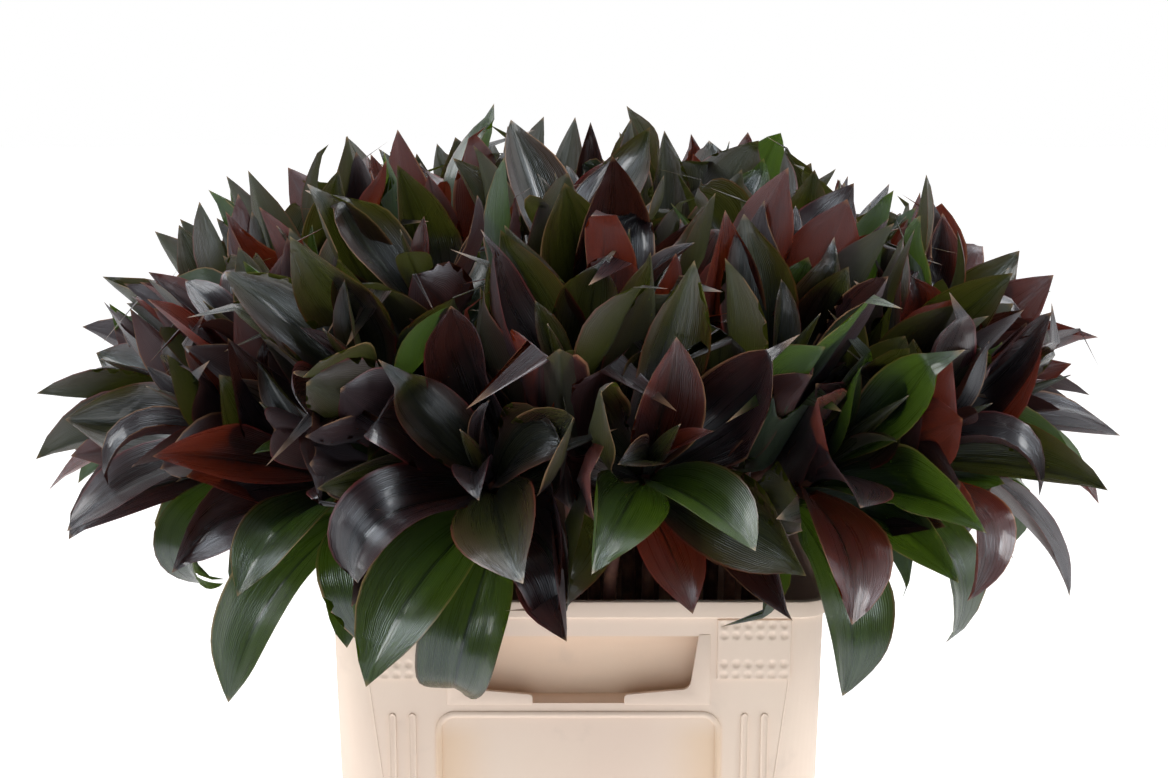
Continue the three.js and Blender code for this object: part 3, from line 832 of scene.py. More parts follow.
    def as_built(self, head: Head, leaf: int, corners: Vec) -> tuple[Habit, Rib] | None:
        """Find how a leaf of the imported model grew, by where its tip is.

        Args:
            head: the leaf's head.
            leaf: the leaf's number.
            corners: the corners of the head's node.

        Returns:
            The leaf's habit and midrib, or None where the head has no such leaf.
        """
        for tries in range(self.TRIES):
            habit = self.habit(head, leaf, tries)
            rib = self.rib(head, leaf, habit)
            if lengths_of(corners - rib.places[-1]).min() < self.FOUND_WITHIN:
                return habit, rib
        return None


class Body:
    """Points and faces as they are gathered, in millimetres."""

    def __init__(self) -> None:
        """Start empty."""
        self.points: list[Vec] = []
        self.faces: list[tuple[int, ...]] = []

    def add(self, points: Vec) -> list[Any]:
        """Add points.

        Args:
            points: the points, in any number of axes before their own.

        Returns:
            Their indices, in the same axes.
        """
        first = sum(len(rows) for rows in self.points)
        self.points.append(points.reshape(-1, 3))
        count = len(self.points[-1])
        return (first + np.arange(count)).reshape(points.shape[:-1]).tolist()

    def skin(self, rows: Vec, loop: bool = False) -> None:
        """Add a skin over rows of points, each of which goes once round.

        Args:
            rows: the points, by row and place in the row.
            loop: whether the last row joins the first, where otherwise a face closes each end.
        """
        at = self.add(rows)
        for near, far in zip(at, [*at[1:], at[0]] if loop else at[1:]):
            for j in range(len(near)):
                after = (j + 1) % len(near)
                self.faces.append((near[j], near[after], far[after], far[j]))
        if not loop:
            self.faces += [tuple(reversed(at[0])), tuple(at[-1])]

    def build(self, name: str) -> bpy.types.Object:
        """Make the mesh object.

        Args:
            name: its name.

        Returns:
            The object, in the scene.
        """
        mesh = bpy.data.meshes.new(name)
        mesh.from_pydata((np.concatenate(self.points) * MM).tolist(), [], self.faces)
        return placed(name, mesh)


class Moulding(Body):
    """A body of moulded plastic, whose faces are turned outwards at the end."""

    def sheet(self, rows: Vec) -> None:
        """Add a sheet over rows of points, closed at its back by one face.

        Args:
            rows: the points, by row and place in the row.
        """
        at = self.add(rows)
        for near, far in zip(at, at[1:]):
            for j in range(len(near) - 1):
                self.faces.append((near[j], near[j + 1], far[j + 1], far[j]))
        right, left = [row[-1] for row in at[1:]], [row[0] for row in at[-2:0:-1]]
        rim = at[0] + right + at[-1][-2::-1] + left
        self.faces.append(tuple(reversed(rim)))

    def build(self, name: str) -> bpy.types.Object:
        """Make the mesh object.

        Args:
            name: its name.

        Returns:
            The object, in the scene.
        """
        made = super().build(name)
        shape = bmesh.new()
        shape.from_mesh(made.data)
        bmesh.ops.recalc_face_normals(shape, faces=shape.faces)
        shape.to_mesh(made.data)
        shape.free()
        return made


class LeafBody(Body):
    """A body whose corners and faces also carry what the leaves' finishes read."""

    def __init__(self) -> None:
        """Start empty."""
        super().__init__()
        self.blades: list[Triple] = []
        self.leaves: list[Triple] = []
        self.slots: list[int] = []
        self.sharp: set[tuple[int, ...]] = set()

    def mark(self, blade: Sequence[Triple], leaf: Triple, slot: int, faces: int = 1) -> None:
        """Say what the last faces carry.

        Args:
            blade: what the blade attribute holds at each corner.
            leaf: what the leaf attribute holds.
            slot: the faces' material.
            faces: how many faces there are.
        """
        self.blades += blade
        self.leaves += [leaf] * faces
        self.slots += [slot] * faces

    def tube(self, rows: Vec, shares: Vec, upper: float, leaf: Triple, slot: int) -> None:
        """Add a closed tube over rows of points.

        Args:
            rows: the points, by row and place in the row.
            shares: how far along each row is, from 0 to 1.
            upper: what the blade attribute holds for the side.
            leaf: what the leaf attribute holds.
            slot: the faces' material.
        """
        count, width = rows.shape[:2]
        self.skin(rows)
        reach = np.linspace(-1, 1, width + 1)
        blade: list[Triple] = []
        for low, high in zip(shares, shares[1:]):
            for left, right in zip(reach, reach[1:]):
                blade += [(left, low, upper), (right, low, upper)]
                blade += [(right, high, upper), (left, high, upper)]
        for end in (shares[0], shares[-1]):
            blade += [(0.0, end, upper)] * width
        self.mark(blade, leaf, slot, (count - 1) * width + 2)

    def dress(self, made: bpy.types.Object, materials: Sequence[bpy.types.Material]) -> None:
        """Put the materials and attributes on the built object.

        Args:
            made: the object.
            materials: its materials, by slot.
        """
        mesh = made.data
        for material in materials:
            mesh.materials.append(material)
        mesh.polygons.foreach_set("material_index", self.slots)
        mesh.polygons.foreach_set("use_smooth", [True] * len(self.faces))
        for name, domain, rows in (("blade", "CORNER", self.blades), ("leaf", "FACE", self.leaves)):
            held = mesh.attributes.new(name, "FLOAT_VECTOR", domain)
            held.data.foreach_set("vector", np.array(rows, np.float32).ravel())
        crisp = [tuple(sorted(edge.vertices)) in self.sharp for edge in mesh.edges]
        mesh.attributes.new("sharp_edge", "BOOLEAN", "EDGE").data.foreach_set("value", crisp)


@dataclass
class Blade:
    """One leaf's fine blade, laid over its midrib."""

    growth: Growth
    head: Head
    leaf: float
    kind: LeafKind
    habit: Habit
    rib: Rib
    columns: int = 11
    step: int = 1
    thickness: float = 0.9
    rib_height: float = 1.3
    slimmer_tip: float = 0.3
    softened: int = 2
    recurved_share: float = 0.55
    recurve: float = 115.0
    ruffle: float = 0.12
    roll: float = 1.6

    def __post_init__(self) -> None:
        """Bend the outer part of some leaves over."""
        bent = smooth(1 - self.recurved_share, 1.0, self.own(9)) * smooth(10.0, 5.0, self.leaf)
        self.rib = self.bent_over(self.rib, math.radians(self.recurve) * bent)

    def bent_over(self, rib: Rib, angle: float) -> Rib:
        """Bend a midrib down over its outer part.

        Args:
            rib: the midrib.
            angle: how far its tip turns.

        Returns:
            The bent midrib.
        """
        turned = (angle * smooth(0.45, 0.95, rib.shares))[:, None]
        steps = np.diff(rib.places, axis=0)
        along = np.cross(rib.across, rib.face)
        forth = (steps * along[:-1]).sum(1)[:, None]
        way = along * np.cos(turned) - rib.face * np.sin(turned)
        face = rib.face * np.cos(turned) + along * np.sin(turned)
        moved = way[:-1] * forth + (steps - forth * along[:-1])
        places = np.concatenate([rib.places[:1], rib.places[0] + np.cumsum(moved, axis=0)])
        return Rib(places, rib.across, face, rib.shares, rib.halves)

    def own(self, use: float) -> float:
        """Draw one of the finish's own numbers for this leaf, from 0 to 1."""
        return draw(self.head.number, self.leaf, 600 + use)

    def surface(self, rows: Sequence[int]) -> Vec:
        """Lay the middle of the blade.

        Args:
            rows: the steps of the midrib to use.

        Returns:
            Points by row and column, from the left edge to the right.
        """
        growth, margin = self.growth, self.habit.margin
        reach = np.linspace(-1, 1, self.columns)
        far = np.abs(reach)
        s = self.rib.shares[rows][:, None]
        half = self.rib.halves[rows][:, None] * (1 - self.slimmer_tip * smooth(0.82, 0.97, s))
        cup = self.habit.cup * (1 - 0.5 * smooth(0.4, 0.9, s))
        cup = cup + growth.CUP_FOOT * (1 - smooth(0, 0.4, s))
        swell = smooth(0.15, 0.45, s) * smooth(1.0, 0.8, s)
        beat = TURN * (1.3 + 1.8 * self.own(2)) * s
        phase = np.where(reach < 0, 6.3 * self.own(3), 6.3 * self.own(4))
        ruffle = self.ruffle * (0.3 + self.own(1)) * swell * np.sin(beat + phase)
        side = np.where(reach < 0, self.own(5), self.own(6))
        roll = (side**3) * smooth(0.3, 0.7, s) * np.maximum(far - 0.5, 0) ** 2 * self.roll
        lift = np.sin(cup) * far**1.45 + ruffle * far**2 - roll
        inward = np.cos(cup) * (1 - 0.5 * roll)
        places = self.rib.places[rows][:, None, :]
        across = self.rib.across[rows][:, None, :]
        face = self.rib.face[rows][:, None, :]
        points = places + across * (half * reach * inward)[..., None]
        points = points + face * (half * lift)[..., None]
        shape = points.shape
        points = growth.clear_of_stem(points.reshape(-1, 3), self.head)
        points = growth.held_back(points, self.head, margin)
        gone = points - np.broadcast_to(places, shape).reshape(-1, 3)
        lost = np.sqrt(np.maximum(0, (half * far).ravel() ** 2 - (gone * gone).sum(1)))
        faces = np.broadcast_to(face, shape).reshape(-1, 3)
        points = points + faces * (growth.FOLD_UP * lost)[:, None]
        points = growth.held_back(points, self.head, margin).reshape(shape)
        for _ in range(self.softened):
            points[1:-1] = (points[:-2] + 2 * points[1:-1] + points[2:]) / 4
        return points

    def lay(self, body: LeafBody) -> None:
        """Add the blade to a body, as a closed thin skin.

        Args:
            body: the body.
        """
        rows = list(range(0, self.growth.STEPS, self.step))
        middle = self.surface(rows)
        shares = self.rib.shares[rows]
        s = shares[:, None]
        reach = np.linspace(-1, 1, self.columns)
        normal = np.cross(np.gradient(middle, axis=1), np.gradient(middle, axis=0))
        normal /= np.maximum(lengths_of(normal), 1e-9)
        facing = (normal * self.rib.face[rows][:, None, :]).sum(2)
        normal *= np.where(facing.sum() < 0, -1.0, 1.0)
        thick = self.thickness * (1 - reach**4) * (1 - 0.4 * s) / 2
        ridge = self.rib_height * np.exp(-((reach / 0.09) ** 2)) * (1 - s) ** 0.7
        over = body.add(middle + normal * (thick - 0.25 * ridge)[..., None])
        below = body.add((middle - normal * (thick + ridge)[..., None])[:, 1:-1])
        tip = body.add(self.rib.places[-1])
        under = [[top[0], *low, top[-1]] for top, low in zip(over, below)]
        for grid in (over, under):
            grid.append([tip] * self.columns)
        leaf, slot = (self.own(7), self.own(8), 0.0), KINDS.index(self.kind)
        for i, low in enumerate(shares):
            high = [] if i + 1 == len(rows) else [shares[i + 1]]
            for j, (left, right) in enumerate(zip(reach, reach[1:])):
                ends = [(left, low), (right, low)]
                ends += [(x, v) for v in high for x in (right, left)] or [(0.0, 1.0)]
                for grid, side, turn in ((over, 1.0, -1), (under, 0.0, 1)):
                    near, far = grid[i], grid[i + 1]
                    corners = tuple(dict.fromkeys((near[j], near[j + 1], far[j + 1], far[j])))
                    body.faces.append(corners[::turn])
                    body.mark([(x, v, side) for x, v in ends][::turn], leaf, slot)
            for j in (0, -1):
                body.sharp.add(tuple(sorted((over[i][j], over[i + 1][j]))))
        for j in range(self.columns - 1):
            foot = (over[0][j], over[0][j + 1], under[0][j + 1], under[0][j])
            body.faces.append(tuple(dict.fromkeys(foot)))
            body.mark([(0.0, 0.0, 0.0)] * len(body.faces[-1]), leaf, slot)


@dataclass
class LeafyStem:
    """One head: its stem from the water to the tip, its leaves and its rolled youngest leaf."""

    growth: Growth
    head: Head
    sides: int = 10
    pieces: tuple[int, int, int] = (11, 40, 9)
    slack: float = 0.4
    scar_pitch: float = 4.5
    scar_height: float = 0.35
    spear_length: float = 66.0
    spear_radius: float = 4.2
    spear_root: float = 6.0
    spear_rows: int = 13
    cut_share: float = 0.16
    cut_length: float = 0.6
    cut_inside: float = 0.72
    cut_depth: float = 9.0
    lowest: float = 22.0
    under: tuple[float, ...] = (-1.0, -2.0, -3.0, -4.0)
    between: tuple[float, ...] = (0.5, 1.5, 2.5, 3.5, 4.5, 5.5)

    def kind_of(self, leaf: float, rib: Rib) -> LeafKind:
        """Choose a leaf's kind from where it hangs and by chance, which partly paints backlit glow.

        Args:
            leaf: the leaf's number.
            rib: its midrib.

        Returns:
            The kind.
        """
        chance = draw(self.head.number, leaf, 700)
        x, y, z = rib.places[-1] - UP * self.growth.HEIGHT
        low, high = smooth(70, -10, z), smooth(90, 210, z)
        behind, aside = smooth(40, 200, y), smooth(180, 320, abs(x)) * smooth(20, 60, z)
        if chance < 0.10 + 0.62 * low:
            return LeafKind.GREEN
        # painted backlit glow: maroon goes more often to high and outer leaves, and olive to high
        # and far-back ones, standing in for red and olive light from behind; the real bunch also
        # mixes these colours
        if chance > 0.86 - 0.14 * max(high, aside):
            return LeafKind.MAROON
        if chance < 0.30 + 0.30 * max(high, behind):
            return LeafKind.OLIVE
        return LeafKind.PURPLE

    def line(self) -> Vec:
        """Give the stem's middle line.

        Returns:
            Its points, from the stem's foot to its end.
        """
        head, growth = self.head, self.growth
        leafy = head.end - head.axis * growth.LEAFY_LENGTH
        gap = leafy - head.mouth
        reach = self.slack * math.sqrt(float(gap @ gap))
        knots = (head.mouth, head.mouth + UP * reach, leafy - head.axis * reach, leafy)
        low, bent, high = self.pieces
        rise, past = head.mouth - head.foot, head.end - leafy
        route = [head.foot + rise * t for t in np.linspace(0, 1, low + 1)[:-1]]
        for t in np.linspace(0, 1, bent):
            weights = ((1 - t) ** 3, 3 * t * (1 - t) ** 2, 3 * t * t * (1 - t), t**3)
            route.append(sum(w * k for w, k in zip(weights, knots)))
        route += [leafy + past * t for t in np.linspace(0, 1, high + 1)[1:]]
        return np.array(route)

    def rings(self, line: Vec, radius: Vec) -> Vec:
        """Give rings of points round a line.

        Args:
            line: the line's points.
            radius: the rings' radii, by row and place.

        Returns:
            The points, by row and place in the ring.
        """
        way = np.gradient(line, axis=0)
        way /= lengths_of(way)
        other = np.cross(way, self.head.side)
        other /= lengths_of(other)
        angles = (np.arange(self.sides) / self.sides * TURN)[:, None]
        out = np.cross(other, way)[:, None] * np.cos(angles) + other[:, None] * np.sin(angles)
        return line[:, None, :] - out * radius[..., None]

    def stem(self, body: LeafBody) -> None:
        """Add the stem, with a ridge where each old leaf has fallen.

        Args:
            body: the body.
        """
        line = self.line()
        travel = np.concatenate([[0], np.cumsum(lengths_of(np.diff(line, axis=0)))])
        radius = np.full(len(line), self.growth.STEM_RADIUS * 0.8)
        tapered = self.pieces[-1] + 1
        radius[-tapered:] *= np.linspace(1, 0.35, tapered)
        radius += self.scar_height * np.maximum(0, np.sin(travel / self.scar_pitch * TURN))
        rows = self.rings(line, radius[:, None])
        body.tube(rows, travel / travel[-1], 0.0, (0.5, 0.5, 0.0), BARK_SLOT)

    def spear(self, body: LeafBody) -> None:
        """Add the youngest leaf, still rolled, which on some stems was cut across.

        Args:
            body: the body.
        """
        number, axis, side = self.head.number, self.head.axis, self.head.side
        short = draw(number, 0, 721) < self.cut_share
        length = self.spear_length * (0.8 + 0.4 * draw(number, 0, 722))
        length *= self.cut_length if short else 1.0
        t = np.linspace(0, 1, self.spear_rows)
        bend = side * spread(number, 0, 723, 9) + np.cross(axis, side) * 5
        line = self.head.end + np.outer(t * length - self.spear_root, axis) + np.outer(t**2, bend)
        line = self.growth.held_back(line, self.head, 0.5)
        swell = (0.45 + 0.75 * smooth(0, 0.35, t)) * (1.0 if short else (1 - t**2.2))
        fold = 1 + 0.25 * np.arange(self.sides) / self.sides
        rows = self.rings(line, np.maximum(self.spear_radius * np.outer(swell, fold), 0.25))
        leaf, slot = (draw(number, 0, 724), 0.2, 0.0), KINDS.index(LeafKind.OLIVE)
        if not short:
            body.tube(rows, t, 1.0, leaf, slot)
            return
        body.tube(rows[:-1], t[:-1], 1.0, leaf, slot)
        inner = line[-1] + (rows[-1] - line[-1]) * self.cut_inside
        depths = np.linspace(0, self.cut_depth, 4)
        wall = np.array([rows[-2], rows[-1], *(inner - axis * depth for depth in depths)])
        body.tube(wall, np.linspace(0.9, 1, len(wall)), 1.0, leaf, CUT_SLOT)

    def blades(self, corners: Vec) -> list[Blade]:
        """List the leaves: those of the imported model, and more below and between them.

        Args:
            corners: the corners of the head's node.

        Returns:
            The leaves' blades.
        """
        growth, head = self.growth, self.head
        made: list[Blade] = []
        for leaf in range(growth.LEAVES):
            found = growth.as_built(head, leaf, corners)
            if found is not None:
                step = 1 if leaf < growth.LEAVES - growth.SPEARS else 2
                kind = self.kind_of(leaf, found[1])
                made.append(Blade(growth, head, leaf, kind, *found, step=step))
        for leaf in (*self.under, *self.between):
            habit = growth.habit(head, leaf, 0)
            rib = growth.rib(head, leaf, habit)
            if rib.places[:, 2].min() >= growth.HEIGHT - self.lowest:
                kind = self.kind_of(leaf, rib)
                made.append(Blade(growth, head, leaf, kind, habit, rib, columns=9, step=2))
        return made

    def build(self, materials: Sequence[bpy.types.Material]) -> int:
        """Build the piece and put it in place of the head's node.

        Args:
            materials: those of the kinds of leaf, in order, of the bark and of cut flesh.

        Returns:
            How many leaves it has.
        """
        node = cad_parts[self.head.name]
        body = LeafBody()
        self.stem(body)
        self.spear(body)
        blades = self.blades(np.array([v.co for v in node.data.vertices]) / MM)
        for blade in blades:
            blade.lay(body)
        piece = body.build(f"fine_{self.head.name}")
        body.dress(piece, materials)
        put_in(piece, self.head.name)
        return len(blades)


@dataclass
class Foliage:
    """All the heads."""

    growth: Growth = field(default_factory=Growth)

    def build(self) -> None:
        """Grow every head and report the leaves."""
        materials = [LEAF_FINISHES[kind].make(kind.value) for kind in KINDS]
        materials += [StemFinish().make("stem_bark"), CutFinish().make("cut_flesh")]
        total = sum(LeafyStem(self.growth, head).build(materials) for head in self.growth.heads())
        log.info("foliage: %d leaves", total)


@dataclass(frozen=True)
class Wall:
    """One flat wall of the container, which leans out a little towards the rim."""

    half: float
    turn: float
    lean: float
    panel: float

    def put(self, points: Vec) -> Vec:
        """Put points on the wall.

        Args:
            points: their places along the wall, up it and out of it.

        Returns:
            Their places in the container.
        """
        x, y, z = points[..., 0], points[..., 1], points[..., 2]
        out = -y * math.sin(self.lean) - z * math.cos(self.lean) - self.half
        up = y * math.cos(self.lean) - z * math.sin(self.lean)
        c, s = math.cos(self.turn), math.sin(self.turn)
        return np.stack([x * c - out * s, x * s + out * c, up], axis=-1)

    def drawn_out(self, flat: Vec, depths: Sequence[float]) -> Vec:
        """Put an outline on the wall at several depths, a row of points for each."""
        return self.put(np.array([at_level(flat, depth) for depth in depths]))


def at_level(flat: Vec, level: float) -> Vec:
    """Give an outline its third coordinate."""
    return np.column_stack([flat, np.full(len(flat), level)])


def rounded(half_x: float, half_y: float, corner: float, steps: int) -> Vec:
    """Give a rectangle with round corners, once round from its right side.

    Args:
        half_x: half its width.
        half_y: half its height.
        corner: the corners' radius.
        steps: how many lengths each corner has.

    Returns:
        The points, in two columns.
    """
    points = []
    for quarter, (x, y) in enumerate(((1, 1), (-1, 1), (-1, -1), (1, -1))):
        for a in (np.arange(steps + 1) / steps + quarter) * math.pi / 2:
            across = x * (half_x - corner) + corner * math.cos(a)
            points.append((across, y * (half_y - corner) + corner * math.sin(a)))
    return np.array(points)


def filleted(corners: Sequence[Triple], steps: int = 5) -> Vec:
    """Give an outline whose corners are rounded.

    Args:
        corners: each corner's place and radius, once round.
        steps: how many lengths each round corner has.

    Returns:
        The points, in two columns.
    """
    points: list[Vec] = []
    for i, (x, y, radius) in enumerate(corners):
        corner = np.array([x, y])
        if radius == 0:
            points.append(corner)
            continue
        before, after = corners[i - 1][:2], corners[(i + 1) % len(corners)][:2]
        start, end = (corner + unit(np.array(at) - corner) * radius for at in (before, after))
        for t in np.linspace(0, 1, steps + 1):
            points.append((1 - t) ** 2 * start + 2 * t * (1 - t) * corner + t * t * end)
    return np.array(points)


def settle(piece: bpy.types.Object) -> None:
    """Apply an object's modifiers.

    Args:
        piece: the object.
    """
    depsgraph = bpy.context.evaluated_depsgraph_get()
    mesh = bpy.data.meshes.new_from_object(piece.evaluated_get(depsgraph))
    piece.modifiers.clear()
    piece.data = mesh


@dataclass
class Container:
    """The moulded container, with a label pocket and two pads of dimples at each short end."""

    width: float = 296.0
    depth: float = 396.0
    height: float = 320.0
    wall: float = 3.0
    floor: float = 5.0
    taper: float = 3.0
    rim_corner: float = 16.0
    foot_corner: float = 52.0
    corner_steps: int = 10
    lip_height: float = 11.0
    lip_proud: float = 2.5
    pocket_half: float = 78.0
    pocket_low: float = 256.0
    pocket_high: float = 298.0
    pocket_depth: float = 18.0
    pocket_front: float = 5.0
    arm: float = 8.0
    ledge: float = 9.0
    slope: float = 3.5
    gap: float = 55.0
    frame_thick: float = 2.5
    frame_proud: float = 0.5
    frame_edge: float = 0.4
    end_panel: float = 172.0
    side_panel: float = 272.0
    panel_low: float = 46.0
    panel_high: float = 251.0
    panel_corner: float = 12.0
    bead: float = 4.0
    seam_low: float = 40.0
    seam_high: float = 272.0
    relief: float = 1.6
    sunk: float = 1.5
    pad_width: float = 45.0
    pad_height: float = 38.0
    pad_top: float = 309.0
    pad_centre: float = 105.0
    pad_edge: float = 1.3
    pad_grid: tuple[int, int] = (61, 51)
    dimple_radius: float = 2.7
    dimple_depth: float = 1.1
    dimple_pitch: float = 7.15
    dimple_rows: tuple[float, ...] = (3.6, 10.2, 28.0, 35.0)
    rib_width: float = 5.2
    rib_high: float = 250.0
    ribs: tuple[float, ...] = (100.0, 112.0)
    crease: float = 38.0

    def line(self, z: float, out: float) -> Vec:
        """Give the container's outline at a height.

        Args:
            z: the height.
            out: how far outwards it is moved.

        Returns:
            Its points.
        """
        share = z / self.height
        out_here = out - self.taper * (1 - share)
        corner = self.foot_corner + (self.rim_corner - self.foot_corner) * share + out
        halves = self.width / 2 + out_here, self.depth / 2 + out_here
        return at_level(rounded(*halves, corner, self.corner_steps), z)

    def walls(self) -> list[Wall]:
        """List the walls.

        Returns:
            The short ends first, and then the long sides.
        """
        lean = math.atan2(self.taper, self.height)
        short = self.depth / 2 - self.taper, (0.0, math.pi), self.end_panel
        long = self.width / 2 - self.taper, (math.pi / 2, -math.pi / 2), self.side_panel
        sets = (short, long)
        return [Wall(half, turn, lean, panel) for half, turns, panel in sets for turn in turns]

    @property
    def ends(self) -> list[Wall]:
        """Give the walls at the short ends."""
        return self.walls()[:2]

    def shell(self) -> Moulding:
        """Loft the shell: up the outside, over the rolled lip and down the inside.

        Returns:
            The shell.
        """
        high, under, floor = self.height, self.height - self.lip_height, self.floor
        proud, inner = self.lip_proud, -self.wall
        profile = [(0, -3), (0.9, -0.9), (3, 0), (under, 0), (under + 0.4, 0.9)]
        profile += [(under + 1.4, proud), (high - 1.6, proud), (high - 0.5, proud - 0.5)]
        profile += [(high, proud - 1.6), (high, inner + 1.2), (high - 0.4, inner + 0.4)]
        profile += [(high - 1.2, inner), (floor + 3, inner), (floor + 0.9, inner - 0.9)]
        body = Moulding()
        body.skin(np.array([self.line(z, out) for z, out in [*profile, (floor, inner - 3)]]))
        return body

    def blocks(self, grow: float, back: float, front: float) -> Moulding:
        """Make a block at each label pocket.

        Args:
            grow: how much larger than the pocket it is each way.
            back: how deep it starts.
            front: how far out it ends.

        Returns:
            The blocks.
        """
        body = Moulding()
        middle = (self.pocket_high + self.pocket_low) / 2
        half = (self.pocket_high - self.pocket_low) / 2 + grow
        flat = rounded(self.pocket_half + grow, half, 2.0, 4) + np.array([0.0, middle])
        for wall in self.ends:
            body.skin(wall.drawn_out(flat, (back, front)))
        return body

    def frames(self) -> Moulding:
        """Make each label pocket's frame: two arms, and a ledge that is split in the middle.

        Returns:
            The frames.
        """
        body = Moulding()
        half, low, high = self.pocket_half + 1, self.pocket_low - 1, self.pocket_high + 1
        top, inner, split = self.pocket_low + self.ledge, self.pocket_half - self.arm, self.gap / 2
        corners = [(-half, low, 0), (-split, low, 0), (-split, top - self.slope, 3.0)]
        corners += [(3 - inner, top, 5.0), (-inner - 2, high, 0), (-half, high, 0)]
        for wall in self.ends:
            for side in (1, -1):
                edge = (filleted(corners) * np.array([side, 1]))[::side]
                body.skin(wall.drawn_out(edge, (-self.frame_thick, self.frame_proud)))
        return body

    def raised(self) -> Moulding:
        """Make everything that stands a little proud of the walls.

        Returns:
            The raised forms.
        """
        body = Moulding()
        for wall in self.walls():
            self.panel(body, wall)
            self.seams(body, wall)
        for wall in self.ends:
            for side in (-1, 1):
                self.pad(body, wall, side)
                for x in self.ribs:
                    self.rib(body, wall, side * x)
        return body

    def panel(self, body: Moulding, wall: Wall) -> None:
        """Add the half-round line round a wall's panel.

        Args:
            body: the body.
            wall: the wall.
        """
        profile = [(-2, -1.5), (-2, 0), (-1.8, 0.8), (-1.0, 1.4), (0, 1.6)]
        profile += [(1.0, 1.4), (1.8, 0.8), (2, 0), (2, -1.5)]
        middle = (self.panel_high + self.panel_low) / 2
        half = (self.panel_high - self.panel_low) / 2
        rows = []
        for out, up in profile:
            inset = out - self.bead / 2
            flat = rounded(wall.panel / 2 + inset, half + inset, self.panel_corner + inset, 10)
            rows.append(at_level(flat + np.array([0.0, middle]), up))
        body.skin(wall.put(np.array(rows)), loop=True)

    def seams(self, body: Moulding, wall: Wall) -> None:
        """Add the fine line at each edge of a wall, where the corner's curve begins.

        Args:
            body: the body.
            wall: the wall.
        """
        heights = np.linspace(self.seam_low, self.seam_high, 24)
        share = heights / self.height
        corner = self.foot_corner + (self.rim_corner - self.foot_corner) * share
        across = wall.half + self.taper * share - corner
        across += (self.depth - self.width) / 2 * (1 if wall.half < self.width / 2 else -1)
        profile = np.array([(-0.7, -0.6), (-0.45, 0.2), (0, 0.4), (0.45, 0.2), (0.7, -0.6)])
        for side in (-1, 1):
            rows = [
                np.column_stack([side * x + profile[:, 0], np.full(5, z), profile[:, 1]])
                for x, z in zip(across, heights)
            ]
            body.skin(wall.put(np.array(rows)))

    def pad(self, body: Moulding, wall: Wall, side: int) -> None:
        """Add a raised pad with four rows of dimples.

        Args:
            body: the body.
            wall: the wall.
            side: 1 for the right pad and -1 for the left one.
        """
        half, (wide, high) = self.pad_width / 2, self.pad_grid
        x, y = np.meshgrid(np.linspace(-half, half, wide), np.linspace(-self.pad_height, 0, high))
        edge = np.minimum(half - np.abs(x), np.minimum(-y, y + self.pad_height))
        rise = np.clip(edge / self.pad_edge, 0, 1)
        z = self.relief * np.sqrt(1 - (1 - rise) ** 2)
        for row in self.dimple_rows:
            for column in np.arange(-2.5, 3):
                far = np.hypot(x - column * self.dimple_pitch, y + row) / self.dimple_radius
                z -= self.dimple_depth * np.clip(1 - far**2, 0, None)
        z[edge <= 0] = -self.sunk
        body.sheet(wall.put(np.stack([x + side * self.pad_centre, y + self.pad_top, z], axis=-1)))

    def rib(self, body: Moulding, wall: Wall, x: float) -> None:
        """Add an upright rib with a round top and a raised edge.

        Args:
            body: the body.
            wall: the wall.
            x: where it stands.
        """
        half = self.rib_width / 2
        lost = self.width / 2 - self.taper - self.foot_corner - abs(x) - half
        start = self.height * lost / (self.rim_corner - self.foot_corner - self.taper)
        low, high = max(self.panel_low, start), self.rib_high
        up = np.concatenate([np.linspace(low, high - 8, 6), np.linspace(high - 7, high, 15)])
        u, v = np.meshgrid(np.linspace(-half, half, 13), up)
        inside = half - np.hypot(u, np.maximum(0, v - (high - half)))
        z = 1.25 * smooth(0, 0.5, inside) - 0.75 * smooth(0.7, 1.5, inside)
        z[inside <= 0.01] = -self.sunk
        body.sheet(wall.put(np.stack([u + x, v, z], axis=-1)))

    def build(self) -> None:
        """Build the piece, dress it and put it in place of the container's node."""
        piece = self.shell().build("fine_container")
        backing = self.blocks(self.wall, -self.pocket_depth - self.wall, -1.0)
        cutter = self.blocks(0.0, -self.pocket_depth, self.pocket_front)
        for body, operation in ((backing, "UNION"), (cutter, "DIFFERENCE")):
            tool = body.build("tool")
            join = piece.modifiers.new("join", "BOOLEAN")
            join.operation, join.solver, join.object = operation, "MANIFOLD", tool
            settle(piece)
            bpy.data.objects.remove(tool)
        frames = self.frames().build("frames")
        soften = frames.modifiers.new("soften", "BEVEL")
        soften.width, soften.segments = self.frame_edge * MM, 2
        soften.angle_limit = math.radians(60)
        settle(frames)
        shape = bmesh.new()
        shape.from_mesh(piece.data)
        for other in (frames, self.raised().build("raised")):
            shape.from_mesh(other.data)
            bpy.data.objects.remove(other)
        shape.to_mesh(piece.data)
        shape.free()
        piece.data.materials.clear()
        piece.data.materials.append(PlasticFinish().make("cream_plastic"))
        piece.data.polygons.foreach_set("use_smooth", [True] * len(piece.data.polygons))
        piece.data.set_sharp_from_angle(angle=math.radians(self.crease))
        put_in(piece, "container")
        log.info("container: %d faces", len(piece.data.polygons))


@dataclass
class Water:
    """The water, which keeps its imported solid."""

    node: str = "water"

    def build(self) -> None:
        """Dress the water's node."""
        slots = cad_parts[self.node].data.materials
        slots.clear()
        slots.append(WaterFinish().make("cloudy_water"))
        log.info("water is dressed")


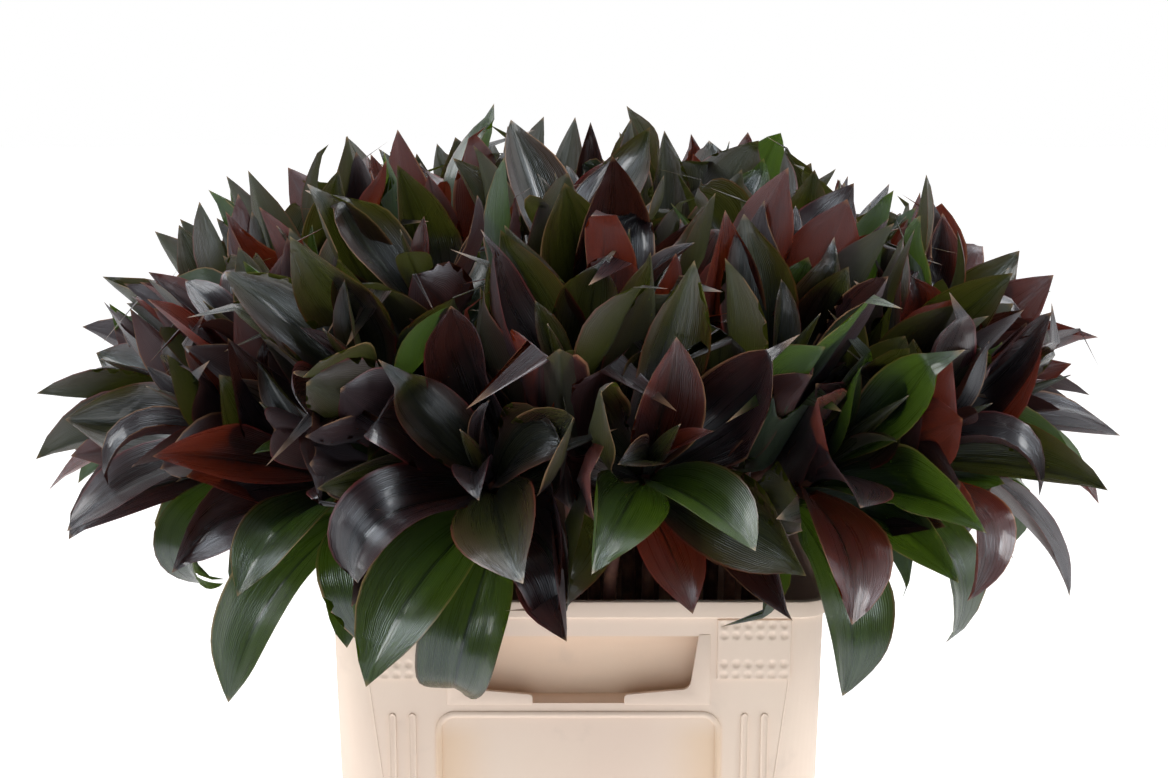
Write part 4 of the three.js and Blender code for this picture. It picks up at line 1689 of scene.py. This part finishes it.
@dataclass(frozen=True)
class Lamp:
    """A soft rectangular light: its place, size, and face's brightness where the backdrop is 1."""

    name: str
    place: Triple
    size: tuple[float, float]
    glow: float

    def hang(self, aim: Triple) -> None:
        """Hang the light so that it faces a point.

        Args:
            aim: the point.
        """
        data = bpy.data.lights.new(self.name, "AREA")
        data.shape = "RECTANGLE"
        data.size, data.size_y = self.size
        data.energy = self.glow * math.pi * self.size[0] * self.size[1]
        light = placed(self.name, data)
        light.location = self.place
        way = Vector(aim) - Vector(self.place)
        light.rotation_euler = way.to_track_quat("-Z", "Y").to_euler()


@dataclass
class Studio:
    """Floor, light and camera."""

    eye: Triple = (0.0034, -1.248, 0.633)
    pitch: float = 10.0
    lens: float = 56.4
    aim: Triple = (0.0, 0.0, 0.38)
    lamps: tuple[Lamp, ...] = (
        Lamp("top_light", (0.0, 0.25, 1.9), (1.3, 0.9), 6.0),
        Lamp("left_light", (-1.6, -0.75, 1.65), (0.8, 1.1), 11.0),
        Lamp("right_light", (1.6, -0.75, 1.65), (0.8, 1.1), 11.0),
        Lamp("front_light", (0.0, -2.6, 0.55), (1.6, 0.8), 2.2),
    )
    floor_radius: float = 14.0
    floor_drop: float = 0.0005

    def camera(self) -> None:
        """Stand the camera where the photograph was taken from."""
        data = bpy.data.cameras.new("camera")
        data.lens, data.sensor_width = self.lens, 36.0
        data.clip_start, data.clip_end = 0.05, 60.0
        camera = placed("camera", data)
        camera.location = self.eye
        camera.rotation_euler = (math.radians(90 - self.pitch), 0.0, 0.0)
        bpy.context.scene.camera = camera

    def world(self) -> None:
        """Set the surroundings: a bright backdrop behind, and a dim room in front."""
        tree = Tree(bpy.data.worlds.new("pale_room"))
        behind = tree.split(tree.value("TexCoord", {}, "Generated"))[1]
        values = {"Value": behind, "From Min": -0.4, "From Max": 0.7, "To Min": 0.04, "To Max": 1.3}
        room = tree.value("Background", {"Strength": tree.value("MapRange", values)})
        seen = tree.value("Background", {"Color": (1.0, 1.0, 1.0)})
        ray = tree.value("LightPath", {}, "Is Camera Ray")
        shown = tree.value("MixShader", {0: ray, 1: room, 2: seen})
        bpy.context.scene.world = tree.finish(shown)

    def floor(self) -> None:
        """Lay the floor."""
        mesh = bpy.data.meshes.new("floor")
        turns, radius = np.arange(64) / 64 * TURN, self.floor_radius
        rim = [(radius * math.cos(a), radius * math.sin(a), 0.0) for a in turns]
        mesh.from_pydata(rim, [], [tuple(range(len(rim)))])
        mesh.materials.append(FloorFinish().make("pale_floor"))
        floor = placed("floor", mesh)
        floor.location.z = -self.floor_drop

    def build(self) -> None:
        """Set everything up."""
        self.camera()
        self.world()
        self.floor()
        for lamp in self.lamps:
            lamp.hang(self.aim)
        bpy.context.scene.view_settings.view_transform = "Standard"
        log.info("studio is set")


def main() -> None:
    """Build the scene in order."""
    logging.basicConfig(level=logging.INFO, format="%(message)s")
    for part in (Studio(), Container(), Water(), Foliage()):
        part.build()


if __name__ == "__main__":
    main()
